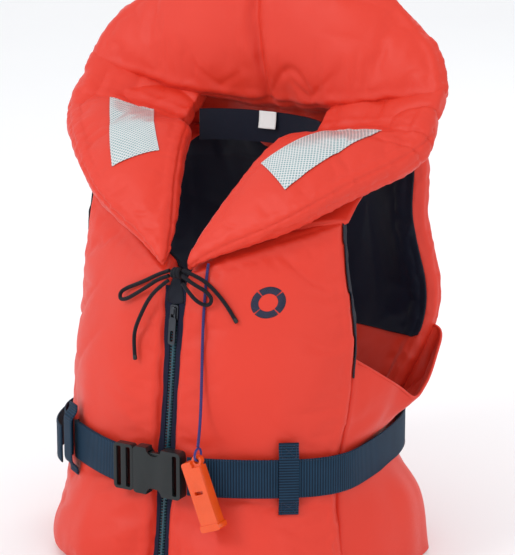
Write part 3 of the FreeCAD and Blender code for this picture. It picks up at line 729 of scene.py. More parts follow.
def seam_points(name):
    """Points along the sharp edges of a CAD solid, where a sewn cover has its seams."""
    bm = bmesh.new()
    bm.from_mesh(nodes[name].data)
    bmesh.ops.remove_doubles(bm, verts=bm.verts, dist=1e-5)
    points = []
    for edge in bm.edges:
        if len(edge.link_faces) == 2 and edge.calc_face_angle(0) > math.radians(38):
            a, b = edge.verts[0].co, edge.verts[1].co
            steps = max(1, int((b - a).length / (1.5 * MM)))
            points += [a.lerp(b, k / steps) for k in range(steps + 1)]
    bm.free()
    return points


def nearest_distances(spots, points):
    tree = KDTree(max(1, len(spots)))
    for i, spot in enumerate(spots):
        tree.insert(spot, i)
    tree.balance()
    return np.array([tree.find(p)[2] for p in points]) if spots else np.full(len(points), 1.0)


class Cushion:
    """A foam block in its sewn cover, from its CAD foam and what joins on to it."""

    def __init__(self, name, foam, cap, extra=(), near=(), slack=0.02):
        self.name, self.cap, self.slack = name, cap, slack
        points, faces = node_arrays([foam])
        points = [tuple(p) for p in points]
        faces = [tuple(int(i) for i in f) for f in faces]
        for more_points, more_faces in extra:
            base = len(points)
            points += [tuple(p) for p in more_points]
            faces += [tuple(base + i for i in f) for f in more_faces]
        self.obj = linked(name, mesh_of(name, points, faces))
        remesh = self.obj.modifiers.new("even", "REMESH")
        remesh.mode = "VOXEL"
        remesh.voxel_size = VOXEL
        ease = self.obj.modifiers.new("ease", "SMOOTH")
        ease.iterations = 2
        mesh = applied(self.obj)
        self.rest = coordinates(mesh)
        self.seams = seam_points(foam)
        self.near = tree_of_nodes(near) if near else None
        self.rest = self.rest + self.limited(normals(mesh) * GROWTH)
        set_coordinates(mesh, self.rest)

    def sew(self):
        """Readies the cloth: seams stay put and the fabric between them has slack to swell."""
        group = self.obj.vertex_groups.new(name="sewn")
        held = 1 - smooth_step(nearest_distances(self.seams, self.rest), 3 * MM, 10 * MM)
        for i, weight in enumerate(held):
            if weight > 0.02:
                group.add([i], float(weight), "REPLACE")
        cloth = self.obj.modifiers.new("cloth", "CLOTH")
        cloth.settings.quality = 4
        cloth.settings.mass = 0.15
        cloth.settings.use_pressure = True
        cloth.settings.uniform_pressure_force = 4
        cloth.settings.shrink_min = -self.slack
        cloth.settings.bending_stiffness = 0.3
        cloth.settings.effector_weights.gravity = 0
        cloth.settings.vertex_group_mass = "sewn"
        cloth.collision_settings.use_collision = False
        cloth.point_cache.frame_start = 1
        cloth.point_cache.frame_end = SWELL_FRAMES

    def swell(self):
        """Applies the cloth, with no point moved further than the cap."""
        graph = bpy.context.evaluated_depsgraph_get()
        mesh = bpy.data.meshes.new_from_object(self.obj.evaluated_get(graph))
        moved = coordinates(mesh) - self.rest
        self.obj.modifiers.clear()
        self.obj.vertex_groups.clear()
        length = np.linalg.norm(moved, axis=1, keepdims=True)
        kept = self.cap * np.tanh(length / self.cap) / np.maximum(length, 1e-9)
        set_coordinates(self.obj.data, self.rest + self.limited(moved * kept))

    def limited(self, moved):
        """The same moves, shortened where another part is close."""
        if self.near is None:
            return moved
        room = distances(self.near, self.rest, 0.04) - 1.0 * MM
        length = np.linalg.norm(moved, axis=1)
        share = np.clip(room / np.maximum(length, 1e-9), 0, 1)
        return moved * share[:, None]

    def finish(self, field, seam_depth=1.8 * MM, seam_width=3.6 * MM, levels=1):
        """Refines the mesh, presses the seams in and adds the folds. field gives millimetres outward."""
        self.obj.modifiers.new("finer", "SUBSURF").levels = levels
        mesh = applied(self.obj)
        points, outward = coordinates(mesh), normals(mesh)
        self.smooth_points = points.copy()
        move = field(points, outward) * MM
        if self.near is not None:
            room = distances(self.near, points, 0.03) - 0.8 * MM
            move = np.minimum(move, np.maximum(room, -0.5 * MM))
        to_seam = nearest_distances(self.seams, points)
        move -= seam_depth * bell(to_seam, 0, seam_width)
        move += 0.9 * MM * bell(to_seam, 9 * MM, 4 * MM)
        moved = points + outward * move[:, None]
        moved[:, 2] = np.maximum(moved[:, 2], 0)
        set_coordinates(mesh, moved)
        dress(self.obj, ORANGE)
        return self.obj


def swell_all(cushions):
    for cushion in cushions:
        cushion.sew()
    for number in range(1, SWELL_FRAMES + 1):
        bpy.context.scene.frame_set(number)
    for cushion in cushions:
        cushion.swell()
    bpy.context.scene.frame_set(1)


def overlay(name, cushion, inside, material, field=None, lift=0.5 * MM, thickness=0.9 * MM):
    """A layer sewn on a cushion where inside(points before its folds) is below zero."""
    mesh = cushion.obj.data.copy()
    points, outward = coordinates(mesh), normals(mesh)
    value = inside(cushion.smooth_points)
    raised = points + outward * lift
    if field is not None:
        raised += outward * (np.maximum(field(points, outward), 0) * MM)[:, None]
    set_coordinates(mesh, raised)
    bm = bmesh.new()
    bm.from_mesh(mesh)
    bm.verts.ensure_lookup_table()
    level = bm.verts.layers.float.new("level")
    for vertex, v in zip(bm.verts, value):
        vertex[level] = v
    crossing = [e for e in bm.edges if e.verts[0][level] * e.verts[1][level] < 0]
    new = []
    for edge in crossing:
        a, b = edge.verts
        at = a[level] / (a[level] - b[level])
        _, vertex = bmesh.utils.edge_split(edge, a, at)
        vertex[level] = 0.0
        new.append(vertex)
    bmesh.ops.connect_verts(bm, verts=new)
    gone = [f for f in bm.faces if sum(v[level] for v in f.verts) / len(f.verts) > 0]
    bmesh.ops.delete(bm, geom=gone, context="FACES")
    bmesh.ops.delete(bm, geom=[v for v in bm.verts if not v.link_faces], context="VERTS")
    keep_largest(bm)
    rim = boundary_loop(bm)
    bm.to_mesh(mesh)
    bm.free()
    return cloth_object(name, mesh, material, thickness), rim


def keep_largest(bm):
    """Deletes all but the largest connected part."""
    left, parts = set(bm.faces), []
    while left:
        stack, part = [left.pop()], []
        while stack:
            face = stack.pop()
            part.append(face)
            for edge in face.edges:
                for other in edge.link_faces:
                    if other in left:
                        left.remove(other)
                        stack.append(other)
        parts.append(part)
    parts.sort(key=len, reverse=True)
    for part in parts[1:]:
        bmesh.ops.delete(bm, geom=part, context="FACES")
    bmesh.ops.delete(bm, geom=[v for v in bm.verts if not v.link_faces], context="VERTS")


def boundary_loop(bm):
    """The longest edge loop round an open patch, in order."""
    edges = {e for e in bm.edges if len(e.link_faces) == 1}
    best = []
    while edges:
        edge = edges.pop()
        line = [edge.verts[0], edge.verts[1]]
        while True:
            following = [e for e in line[-1].link_edges if e in edges]
            if not following:
                break
            edges.discard(following[0])
            line.append(following[0].other_vert(line[-1]))
        if len(line) > len(best):
            best = line
    return [v.co.copy() for v in best]


def near_node(node, reach):
    """Below zero within reach of the node's surface."""
    tree = tree_of_nodes([node])
    return lambda points: distances(tree, points, 0.03) - reach


def above_foot(inside):
    """The same region, cut off straight below the lining's foot."""
    return lambda points: np.maximum(inside(points), LINING_FOOT - points[:, 2])


def piping(name, path, diameter, material, body="jacket"):
    """A thin sewn edge along path."""
    path = smoothed(resampled(path, 4 * MM), 3)
    sections = []
    for i, p in enumerate(path):
        ahead = heading(path, i)
        side = ahead.cross(Vector((0.31, 0.52, 0.80))).normalized()
        sections.append(ring_round(p, side, ahead.cross(side), diameter / 2, 8))
    return add_object(name, mesh_of(name, *loft(sections)), material, body)


# ---- the folds of each cushion, in millimetres outward ----
def front_folds(points, outward):
    """Soft hollows, gathers fanning out below and above the belt, and drag lines to the armhole."""
    x, z = np.abs(points[:, 0]), points[:, 2]
    side = np.sign(points[:, 0])
    facing = smooth_step(-outward[:, 1], 0.0, 0.5)
    seed = 5
    move = 1.6 * noise(points, 0.090, seed) + 0.7 * noise(points, 0.040, seed + 1)
    below = smooth_step(BELT_Z - z, 8 * MM, 30 * MM)
    below *= 1 - smooth_step(BELT_Z - z, 70 * MM, 125 * MM) * 0.5
    above = smooth_step(z - BELT_Z, 14 * MM, 32 * MM) * (1 - smooth_step(z - BELT_Z, 50 * MM, 110 * MM))
    spread = np.stack([points[:, 0] * 1.0, points[:, 1], z * 0.18], axis=1)
    gathers = noise(spread, 0.022, seed + 2)
    move += 2.2 * gathers * below + 1.5 * gathers * above
    drag = folds(points, (side.mean(), 0, -0.9), (0.9 * side.mean(), 0, 1.0), 0.16, 0.040, seed + 4)
    reach = smooth_step(x, 0.075, 0.14) * bell(z, 0.235, 0.060)
    move -= 2.4 * drag * reach
    move += 1.6 * bell(z, 0.055, 0.040) * facing
    return move


def back_folds(points, outward):
    z = points[:, 2]
    seed = 21
    move = 2.0 * noise(points, 0.110, seed) + 0.8 * noise(points, 0.045, seed + 1)
    below = smooth_step(BELT_Z - z, 8 * MM, 30 * MM)
    above = smooth_step(z - BELT_Z, 14 * MM, 32 * MM) * (1 - smooth_step(z - BELT_Z, 60 * MM, 130 * MM))
    spread = np.stack([points[:, 0], points[:, 1], z * 0.18], axis=1)
    gathers = noise(spread, 0.026, seed + 2)
    move += 2.4 * gathers * below + 1.6 * gathers * above
    slack = folds(points, (1, 0, 0.10), (0, 0, 1), 0.20, 0.050, seed + 3)
    move -= 1.8 * slack * bell(z, 0.36, 0.05)
    return move


def lapel_folds(points, outward):
    move = 1.4 * noise(points, 0.080, 31) + 0.5 * noise(points, 0.030, 32)
    rear = smooth_step(points[:, 1], -0.03, 0.03)
    creases = folds(points, (1, -0.5, 0.2), (0, 1, 0.5), 0.09, 0.024, 33)
    move -= 2.2 * creases * rear
    move += 6.0 * smooth_step(-points[:, 0], 0.125, 0.180)
    return move


def support_folds(points, outward):
    """The centre crease, the puckers beside its foot and gathers into the neck seam."""
    x, z = points[:, 0], points[:, 2]
    front = smooth_step(-outward[:, 1], 0.05, 0.5)
    back = 1 - front
    move = 2.2 * noise(points, 0.100, 41) + 0.8 * noise(points, 0.040, 42)
    centre = -0.004 + 0.004 * np.sin(z * 30)
    crease = bell(x, centre, 5.5 * MM)
    depth = 3.0 + 4.0 * (1 - smooth_step(z, 0.50, 0.60))
    move -= depth * crease * front * smooth_step(z, 0.452, 0.470)
    move += 2.4 * (bell(x, centre + 0.017, 11 * MM) + bell(x, centre - 0.019, 11 * MM)) * front
    arch_z = 0.500 - 4.2 * (x - 0.036) ** 2 * 10
    move -= 2.6 * bell(z, arch_z, 5 * MM) * bell(x, 0.032, 0.028) * front
    hook = 0.470 + 0.9 * np.abs(x - 0.056)
    move -= 2.2 * bell(z, hook, 5 * MM) * bell(x, 0.060, 0.024) * front
    hook = 0.474 + 0.7 * np.abs(x + 0.050)
    move -= 1.6 * bell(z, hook, 5 * MM) * bell(x, -0.050, 0.026) * front
    fan = np.stack([x, np.zeros(len(x)), (z - 0.44) * 0.30], axis=1)
    gathers = noise(fan, 0.020, 44)
    move += 2.4 * gathers * bell(z, 0.458, 0.024)
    move += 6.0 * smooth_step(-x, 0.130, 0.185)
    long_crease = folds(points, (1, 0, 0.35), (0, 0, 1), 0.16, 0.045, 45)
    move -= 2.4 * long_crease * smooth_step(np.abs(x), 0.06, 0.12) * (1 - 0.4 * back)
    return move


def lining_wrinkles(points, outward):
    """Loose lining: long soft ripples that stand off the foam."""
    ripples = 1 - np.abs(noise(points, (0.035, 0.060, 0.110), 51))
    fine = noise(points, 0.022, 52)
    return 1.6 * ripples ** 3 + 0.5 * fine + 0.5


# ---- what closes the gaps between the blocks ----
def capsule(a, b, along, radius, count=24):
    """A long round-ended section from a to b, square to along."""
    up = (b - a).normalized()
    side = along.cross(up).normalized()
    half = (b - a).length / 2
    section = []
    for k in range(count):
        turn = math.tau * k / count
        lift = half if math.sin(turn) >= 0 else -half
        section.append((a + b) / 2 + up * (lift + math.sin(turn) * radius) + side * math.cos(turn) * radius)
    return section


def edge_middle(points, x, reach, axis, sign, depth):
    """The middle of the points near x that lie furthest along an axis, or against it."""
    strip = points[np.abs(points[:, 0] - x) < reach]
    far = strip[:, axis] * sign
    return strip[far > far.max() - depth].mean(axis=0)


def nape_roll():
    """Fabric from the back panel's top edge up to the head support, round the nape."""
    back, _ = node_arrays(["back_foam"])
    support, _ = node_arrays(["head_support_foam"])
    sections = []
    for x in np.linspace(-0.150, 0.150, 21):
        top = edge_middle(back, x, 12 * MM, 2, 1, 6 * MM)
        low = edge_middle(support, x, 12 * MM, 2, -1, 6 * MM)
        a = Vector((x, top[1] + 1 * MM, top[2] - 6 * MM))
        b = Vector((x, low[1] + 6 * MM, low[2] + 10 * MM))
        sections.append(capsule(a, b, Vector((1, 0, 0)), 11 * MM * (1 - 0.35 * abs(x) / 0.150)))
    return loft(sections)


def lapel_rear(side, sign):
    """The lapel's end runs on under the head support."""
    mirror = (sign, 1, 1)
    foam = node_arrays(["lapel_foam_" + side])[0] * mirror
    support = node_arrays(["head_support_foam"])[0] * mirror
    sections = []
    for x in np.linspace(0.080, 0.205, 13):
        rear = edge_middle(foam, x, 8 * MM, 1, 1, 5 * MM)
        low = edge_middle(support, x, 10 * MM, 2, -1, 10 * MM)
        a = Vector((x * sign, rear[1] - 8 * MM, rear[2]))
        b = Vector((x * sign, low[1] - 2 * MM, low[2] + 2 * MM))
        sections.append(capsule(a, b, Vector((sign, 0, 0)), 8.5 * MM))
    return loft(sections)


def make_cushions():
    """Every padded piece of the jacket, with its lining and the edge sewn round the lining."""
    made = {}
    for side, sign in SIDES.items():
        made["front_" + side] = Cushion("front_panel_" + side, "front_foam_" + side, 6 * MM,
                                        near=NEIGHBOURS)
        made["lapel_" + side] = Cushion("lapel_" + side, "lapel_foam_" + side, 5 * MM,
                                        extra=[lapel_rear(side, sign)], near=NEIGHBOURS)
    made["back"] = Cushion("back_panel", "back_foam", 7 * MM, near=NEIGHBOURS)
    made["support"] = Cushion("head_support", "head_support_foam", 6 * MM, extra=[nape_roll()])
    swell_all(made.values())
    for side in SIDES:
        panel = made["front_" + side].finish(front_folds)
        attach(panel, "jacket")
        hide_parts("front_cover_" + side, "front_foam_" + side)
        line_panel(made["front_" + side], "front_lining_" + side)
        armhole_edge(made["front_" + side], side)
        lapel = made["lapel_" + side].finish(lapel_folds, 1.9 * MM, 1.9 * MM, 2)
        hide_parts("lapel_cover_" + side, "lapel_foam_" + side)
        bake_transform(lapel)
        patch(side, lapel)
    back = made["back"].finish(back_folds)
    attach(back, "jacket")
    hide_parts("back_cover", "back_foam")
    line_panel(made["back"], "back_lining")
    support = made["support"].finish(support_folds)
    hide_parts("head_support_cover", "head_support_foam")
    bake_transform(support)
    return made


LINING_REACH = 7.5 * MM     # how far past the block's edge the lining is turned
LINING_FOOT = 222 * MM      # below this height the inside of the panels is orange too


def line_panel(cushion, node):
    lining, rim = overlay(node + "_cloth", cushion, above_foot(near_node(node, LINING_REACH)), LINING,
                          lining_wrinkles)
    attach(lining, "jacket")
    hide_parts(node)
    declare_layer(lining)
    piping(node + "_edge", rim, 2.2 * MM, BINDING)


def declare_layer(layer):
    """Works out a layer's flat size from what it covers; the result is not kept."""
    area = cloth_area(layer)


def armhole_edge(cushion, side):
    """The dark strip along the armhole side of a front panel."""
    node = "armhole_binding_" + side
    strip, _ = overlay("armhole_strip_" + side, cushion, near_node(node, 5.5 * MM), BINDING,
                         lift=1.6 * MM)
    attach(strip, "jacket")
    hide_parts(node)
    declare_layer(strip)


def project(tree, point, direction):
    """Where a line through point along direction meets the surface, and the surface's normal."""
    hit = tree.ray_cast(point + direction * 0.05, -direction, 0.12)
    if hit[0] is None:
        hit = tree.find_nearest(point)
    return hit[0], hit[1]


def patch(side, lapel):
    """Reflective tape on a lapel, laid on the swollen cover and stitched round."""
    node = "reflective_patch_" + side
    corners, facing = patch_corners(node)
    tree = tree_of_mesh(lapel.data)
    across, along = 26, 38
    points = []
    for j in range(along + 1):
        for i in range(across + 1):
            u, v = i / across, j / along
            p = (corners[0].lerp(corners[1], u)).lerp(corners[3].lerp(corners[2], u), v)
            spot, up = project(tree, p, facing)
            if up.dot(facing) < 0:
                up = -up
            crinkle = noise(np.array([spot]), (0.012, 0.012, 0.012), 61)[0]
            points.append(spot + up * (0.7 + 0.35 * crinkle) * MM)
    mesh = mesh_of("reflective_tape_" + side, points, grid_faces(along + 1, across + 1))
    wide = (corners[1] - corners[0]).length
    high = (corners[3] - corners[0]).length
    lay_uv(mesh, lambda n: (n % (across + 1) / across * wide, n // (across + 1) / along * high))
    if mesh.polygons[0].normal.dot(facing) < 0:
        mesh.flip_normals()
    obj = cloth_object("reflective_tape_" + side, mesh, TAPE, 0.5 * MM)
    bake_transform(obj)
    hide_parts(node)
    near, far = 0.035, 0.965
    seam = ((near, near), (far, near), (far, far), (near, far), (near, near))
    line = []
    for (u0, v0), (u1, v1) in zip(seam, seam[1:]):
        for k in range(24):
            u, v = u0 + (u1 - u0) * k / 24, v0 + (v1 - v0) * k / 24
            p = (corners[0].lerp(corners[1], u)).lerp(corners[3].lerp(corners[2], u), v)
            spot, up = project(tree, p, facing)
            line.append(spot + (up if up.dot(facing) > 0 else -up) * 1.25 * MM)
    line.append(line[0].copy())
    threads = stitches("tape_stitches_" + side, line, facing, LABEL, body=None,
                       pitch=2.6 * MM, thread=0.45 * MM)
    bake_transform(threads)


def patch_corners(node):
    """The four corners of a thin four-sided CAD node, in order, and its facing direction."""
    points, triangles = node_arrays([node])
    middle = points.mean(axis=0)
    _, _, axes = np.linalg.svd(points - middle, full_matrices=False)
    facing = axes[2] if axes[2][2] > 0 else -axes[2]
    wide, high = axes[1], axes[0]
    corners = []
    for a, b in ((-1, -1), (1, -1), (1, 1), (-1, 1)):
        corner = wide / np.ptp(points @ wide) * a + high / np.ptp(points @ high) * b
        corners.append(Vector(points[np.argmax((points - middle) @ corner)]))
    return corners, Vector(facing)


# ---- side fabric ----
GUSSET_ROWS = (
    ((162, -72, 1), (172, -68, 1), (185, -45, 1), (194, -10, 1), (197, 30, 1), (194, 64, 1), (184, 88, 1),
     (168, 103, 1), (158, 106, 1)),
    ((155, -64, 62), (165, -60, 62), (176, -38, 66), (186, -5, 70), (190, 30, 70), (187, 60, 68),
     (174, 83, 64), (156, 95, 62), (145, 97, 62)),
    ((150, -60, 124), (160, -57, 124), (162, -34, 124), (160, -5, 124), (157, 25, 124), (153, 50, 124),
     (148, 68, 124), (143, 84, 124), (134, 88, 124)),
    ((154, -46, 184), (165, -44, 182), (172, -22, 168), (173, 5, 159), (171, 28, 154), (168, 52, 157),
     (166, 78, 167), (165, 101, 179), (154, 104, 180)),
    ((152, -32, 232), (164, -30, 228), (177, -8, 210), (185, 18, 192), (191, 40, 176), (193, 62, 186),
     (189, 90, 206), (182, 116, 228), (168, 120, 232)),
)


def side_gussets():
    """Loose fabric under each arm, gathered by the belt, with a turned hem round the armhole."""
    across, high = 96, 90
    for side, sign in SIDES.items():
        grid = grid_through(GUSSET_ROWS, across, high)
        grid[:, :, 0] *= sign
        flat = grid.reshape(-1, 3)
        du = np.gradient(grid, axis=1).reshape(-1, 3)
        dv = np.gradient(grid, axis=0).reshape(-1, 3)
        outward = np.cross(du, dv) * sign
        outward /= np.linalg.norm(outward, axis=1, keepdims=True)
        u = np.tile(np.linspace(0, 1, across), high)
        v = np.repeat(np.linspace(0, 1, high), across)
        inner = smooth_step(u, 0.04, 0.18) * (1 - smooth_step(u, 0.82, 0.96))
        z = flat[:, 2]
        below = smooth_step(BELT_Z - z, 12 * MM, 45 * MM)
        above = smooth_step(z - BELT_Z, 16 * MM, 48 * MM)
        seed = 71 if sign > 0 else 83
        fan = np.stack([u * 0.26, np.zeros(len(u)), z * 0.16], axis=1)
        gathers = noise(fan, 0.024, seed)
        broad = noise(fan, 0.055, seed + 1)
        move = (4.6 * gathers + 3.0 * broad) * below + (2.6 * gathers + 4.0 * broad) * above
        slack = folds(flat, (0, 1, 0.45), (0, -0.45, 1), 0.14, 0.034, seed + 2)
        move -= 5.0 * slack * above
        roll = bell(v, 0.86 + 0.05 * np.sin(u * 5), 0.06) * smooth_step(u, 0.45, 0.75)
        move += 5.0 * roll * (1 - smooth_step(v, 0.93, 1.0))
        move -= 1.6 * bell(z, BELT_Z, 24 * MM)
        points = flat + outward * (move * inner * MM)[:, None]
        points[:, 2] = np.maximum(points[:, 2], 0.6 * MM)
        mesh = mesh_of("side_gusset_" + side, points, grid_faces(high, across))
        if mesh.polygons[len(mesh.polygons) // 2].normal.x * sign < 0:
            mesh.flip_normals()
        obj = cloth_object("side_gusset_cloth_" + side, mesh, ORANGE, 1.2 * MM, 0, 60)
        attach(obj, "jacket")
        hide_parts("side_gusset_" + side)
        area = cloth_area(obj)
        rows = points.reshape(high, across, 3)
        top = [Vector(p) for p in rows[-1, 3:-3]]
        seam = [Vector(p) for p in rows[-4, 4:-4]]
        piping("gusset_hem_top_" + side, top, 3.2 * MM, ORANGE)
        stitches("gusset_stitches_" + side, seam, Vector((sign, 0, 0)), SEAM_ORANGE)


STRAP_ROWS = (
    ((58, -60, 352), (84, -56, 361), (110, -50, 368), (134, -42, 373), (152, -36, 376)),
    ((66, -30, 380), (90, -27, 384), (112, -22, 389), (134, -17, 393), (154, -13, 396)),
    ((78, 8, 400), (100, 9, 403), (120, 11, 406), (140, 13, 409), (158, 15, 410)),
    ((84, 46, 415), (104, 47, 417), (122, 48, 418), (141, 49, 419), (158, 49, 419)),
    ((84, 84, 422), (104, 85, 423), (122, 85, 422), (141, 85, 421), (157, 84, 420)),
    ((82, 118, 420), (104, 120, 420), (122, 119, 419), (140, 116, 418), (154, 112, 416)),
)
STRAP_UP = Vector((0, -0.35, 0.94))


def shoulder_straps():
    """Thin padded straps over the shoulders, hidden mostly by the lapels."""
    across, along = 20, 56
    for side, sign in SIDES.items():
        grid = grid_through(STRAP_ROWS, across, along)
        grid[:, :, 0] *= sign
        grid[:, :, 2] -= 4 * MM
        sections = []
        for j, line in enumerate(grid):
            upper, lower = [], []
            for i, spot in enumerate(line):
                f = i / (across - 1)
                swell = (1 - (2 * f - 1) ** 4) * 4.4 * MM + 0.4 * MM
                ripple = 0.8 * MM * math.sin(j * 0.55 + 2 * f)
                upper.append(Vector(spot) + STRAP_UP * (swell * 0.9 + ripple * 0.5))
                lower.append(Vector(spot) - STRAP_UP * swell)
            sections.append(upper + lower[::-1])
        mesh = faced_outward(mesh_of("shoulder_strap_" + side, *loft(sections)))
        obj = add_object("shoulder_strap_pad_" + side, mesh, ORANGE)
        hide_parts("shoulder_strap_" + side)


def neck_band():
    """The dark band behind the neck, with the size label hung from it."""
    paint(nodes["neck_band"].data, LINING)
    low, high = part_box("size_label")
    width, height = high.x - low.x, high.z - low.z + 2 * MM
    across, tall = 10, 14
    points = []
    for j in range(tall + 1):
        for i in range(across + 1):
            u, v = i / across, j / tall
            curl = 2.4 * MM * (1 - v) ** 2 + 0.5 * MM * math.sin(5 * u)
            points.append((low.x + width * u, low.y - curl, low.z + height * v))
    mesh = mesh_of("size_label_cloth", points, grid_faces(tall + 1, across + 1))
    obj = cloth_object("size_label_cloth", mesh, LABEL, 0.4 * MM, -1, None)
    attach(obj, "jacket")
    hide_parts("size_label")


# ---- zip ----
TOOTH_PITCH = 3.0 * MM
TOOTH_OUTLINE = ((3.2, 0.55), (1.6, 0.55), (0.5, 0.80), (-0.9, 0.62), (-1.2, 0.0), (-0.9, -0.62),
                 (0.5, -0.80), (1.6, -0.55), (3.2, -0.55))      # across and up, mm
TOOTH_DEPTHS = ((-1.6, 0.8), (-1.35, 1.0), (1.35, 1.0), (1.6, 0.8))     # forward in mm, and its size
ZIP_LEAN = math.atan(0.124)


def zip_point(z, x=0.0, forward=0.0):
    """A point on the zip's line at height z, moved across and towards the front."""
    low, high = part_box("zip_tape_left")
    top = Vector((0, node_y_at("zip_tape_left", True), high.z))
    foot = Vector((0, node_y_at("zip_tape_left", False), low.z))
    f = (z - foot.z) / (top.z - foot.z)
    ahead = Vector((0, -math.cos(ZIP_LEAN), -math.sin(ZIP_LEAN)))
    return foot.lerp(top, f) + Vector((x, 0, 0)) + ahead * forward


def node_y_at(name, top):
    """How far back a node lies at its top or its foot."""
    points, _ = node_arrays([name])
    level = points[:, 2].max() if top else points[:, 2].min()
    return float(points[np.abs(points[:, 2] - level) < 1.5 * MM][:, 1].mean())


def zip_pieces():
    """Moulded teeth that interlock below the slider, on woven tapes."""
    for node in ("zip_tape_left", "zip_tape_right", "zip_underflap"):
        paint(nodes[node].data, BINDING)
    low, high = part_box("zip_teeth_left")
    top, foot = zip_point(high.z), zip_point(low.z)
    up = (top - foot).normalized()
    ahead = Vector((1, 0, 0)).cross(up).normalized()
    if ahead.y > 0:
        ahead = -ahead
    count = int((top - foot).length / TOOTH_PITCH)
    for side, sign in SIDES.items():
        points, faces = [], []
        for i in range(count):
            offset = 0.5 if sign > 0 else 0.0
            centre = foot + up * ((i + offset) * TOOTH_PITCH)
            faces += tube_faces(len(TOOTH_DEPTHS), len(TOOTH_OUTLINE), len(points))
            for depth, size in TOOTH_DEPTHS:
                for x, h in TOOTH_OUTLINE:
                    out = sign * (0.6 + (x - 0.6) * (0.9 + 0.1 * size)) * MM
                    points.append(centre + Vector((out, 0, 0)) + up * (h * size * 0.86 * MM)
                                  + ahead * (depth * MM))
        mesh = faced_outward(mesh_of("zip_chain_" + side, points, faces))
        obj = add_object("zip_chain_" + side, mesh, TEETH, smooth=False)
        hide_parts("zip_teeth_" + side)
        tape_line = [zip_point(z, sign * 8.2 * MM, 1.4 * MM) for z in np.linspace(low.z, high.z + 0.01, 30)]
        strap("zip_selvedge_" + side, tape_line, Vector((0, -1, 0)), 8.6 * MM, 0.9 * MM, ZIP_TAPE,
              across=Vector((sign, 0, 0)))
        line = [p + ahead * 0.5 * MM + Vector((sign * 2.6 * MM, 0, 0)) for p in tape_line]
        stitches("zip_stitches_" + side, line, ahead, THREAD, pitch=2.8 * MM, thread=0.5 * MM)


def zip_garage():
    """The dark flap over the zip above its slider: narrow at the knot, wide and rounded at its foot."""
    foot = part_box("zip_slider")[1].z + 0.8 * MM
    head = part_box("tie_knot")[0].z + 2 * MM
    across, tall = 12, 16
    points = []
    for j in range(tall + 1):
        v = j / tall
        half = (4.2 + 5.6 * math.sin(math.pi * min(1.0, 0.42 + 0.62 * v)) ** 1.5) * MM
        for i in range(across + 1):
            u = 2 * i / across - 1
            z = foot + (head - foot) * v + (1 - v) * 2.0 * MM * abs(u)
            points.append(zip_point(z, u * half, (3.4 - 1.2 * u * u) * MM))
    mesh = mesh_of("zip_garage_flap", points, grid_faces(tall + 1, across + 1))
    obj = cloth_object("zip_garage_flap", mesh, BINDING, 1.0 * MM, -1, None)
    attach(obj, "jacket")
    area = cloth_area(obj)


def bevelled(name, node, material, width):
    """A CAD node's shape with its edges rounded."""
    bm = bmesh.new()
    bm.from_mesh(nodes[node].data)
    bmesh.ops.remove_doubles(bm, verts=bm.verts, dist=2e-6)
    bmesh.ops.dissolve_limit(bm, angle_limit=math.radians(1.0), verts=bm.verts, edges=bm.edges)
    mesh = bpy.data.meshes.new(name)
    bm.to_mesh(mesh)
    bm.free()
    obj = linked(name, mesh)
    bevel = obj.modifiers.new("round", "BEVEL")
    bevel.width = width
    bevel.segments = 3
    bevel.limit_method = "ANGLE"
    bevel.angle_limit = math.radians(32)
    bevel.use_clamp_overlap = True
    applied(obj)
    dress(obj, material, sharp=40)
    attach(obj, nodes[node]["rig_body"])
    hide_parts(node)


HARD_PARTS = (("buckle_socket_shell", "buckle_socket", BLACK_PLASTIC, "buckle_plastic", 0.9),
              ("buckle_plug_frame", "buckle_plug", BLACK_PLASTIC, "buckle_plastic", 0.8),
              ("buckle_prong_upper", "prong_upper", BLACK_PLASTIC, "buckle_plastic", 0.7),
              ("buckle_prong_lower", "prong_lower", BLACK_PLASTIC, "buckle_plastic", 0.7),
              ("zip_slider_body", "zip_slider", STEEL, "zip_metal", 0.4),
              ("zip_pull_tab", "zip_pull", STEEL, "zip_metal", 0.3),
              ("zip_end_box", "zip_bottom_box", TEETH, "zip_plastic", 0.5),
              ("zip_end_stops", "zip_top_stops", TEETH, "zip_plastic", 0.4))


def hard_parts():
    for name, node, material, slot, round_mm in HARD_PARTS:
        bevelled(name, node, material, round_mm * MM)


def whistle_pieces():
    bevelled("whistle_body_shell", "whistle", WHISTLE, 1.0 * MM)
    ring = nodes["whistle_ring"]
    paint(ring.data, CORD)
    cord = cord_curve("whistle_cord_braid", WHISTLE_CORD, WHISTLE_CORD_DIAMETER, CORD)
    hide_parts("whistle_cord")


# ---- waist belt ----
BELT_WIDTH = 40 * MM
LOOP_WIDTH = 20 * MM
WEBBING_THICK = 1.8 * MM


def belt_line(node, inset, step=math.radians(2.5)):
    """The middle line of a belt node's outer skin, by angle round the body, inset from its face."""
    points, _ = node_arrays([node])
    angles = np.arctan2(points[:, 1], points[:, 0])
    angles = np.where(angles < math.radians(-100), angles + math.tau, angles)
    tree = tree_of_nodes([node])
    z = (points[:, 2].min() + points[:, 2].max()) / 2
    line, out = [], []
    count = int((angles.max() - angles.min()) / step)
    for k in range(count + 1):
        a = angles.min() + 0.004 + (angles.max() - angles.min() - 0.008) * k / count
        direction = Vector((math.cos(a), math.sin(a), 0))
        hit = tree.ray_cast(Vector((0, 0, z)) + direction * 0.4, -direction, 0.4)
        if hit[0] is None:
            continue
        normal = Vector((hit[1].x, hit[1].y, 0)).normalized()
        if normal.dot(direction) < 0.25:
            continue
        line.append(hit[0] - normal * inset)
        out.append(normal)
    return line, out


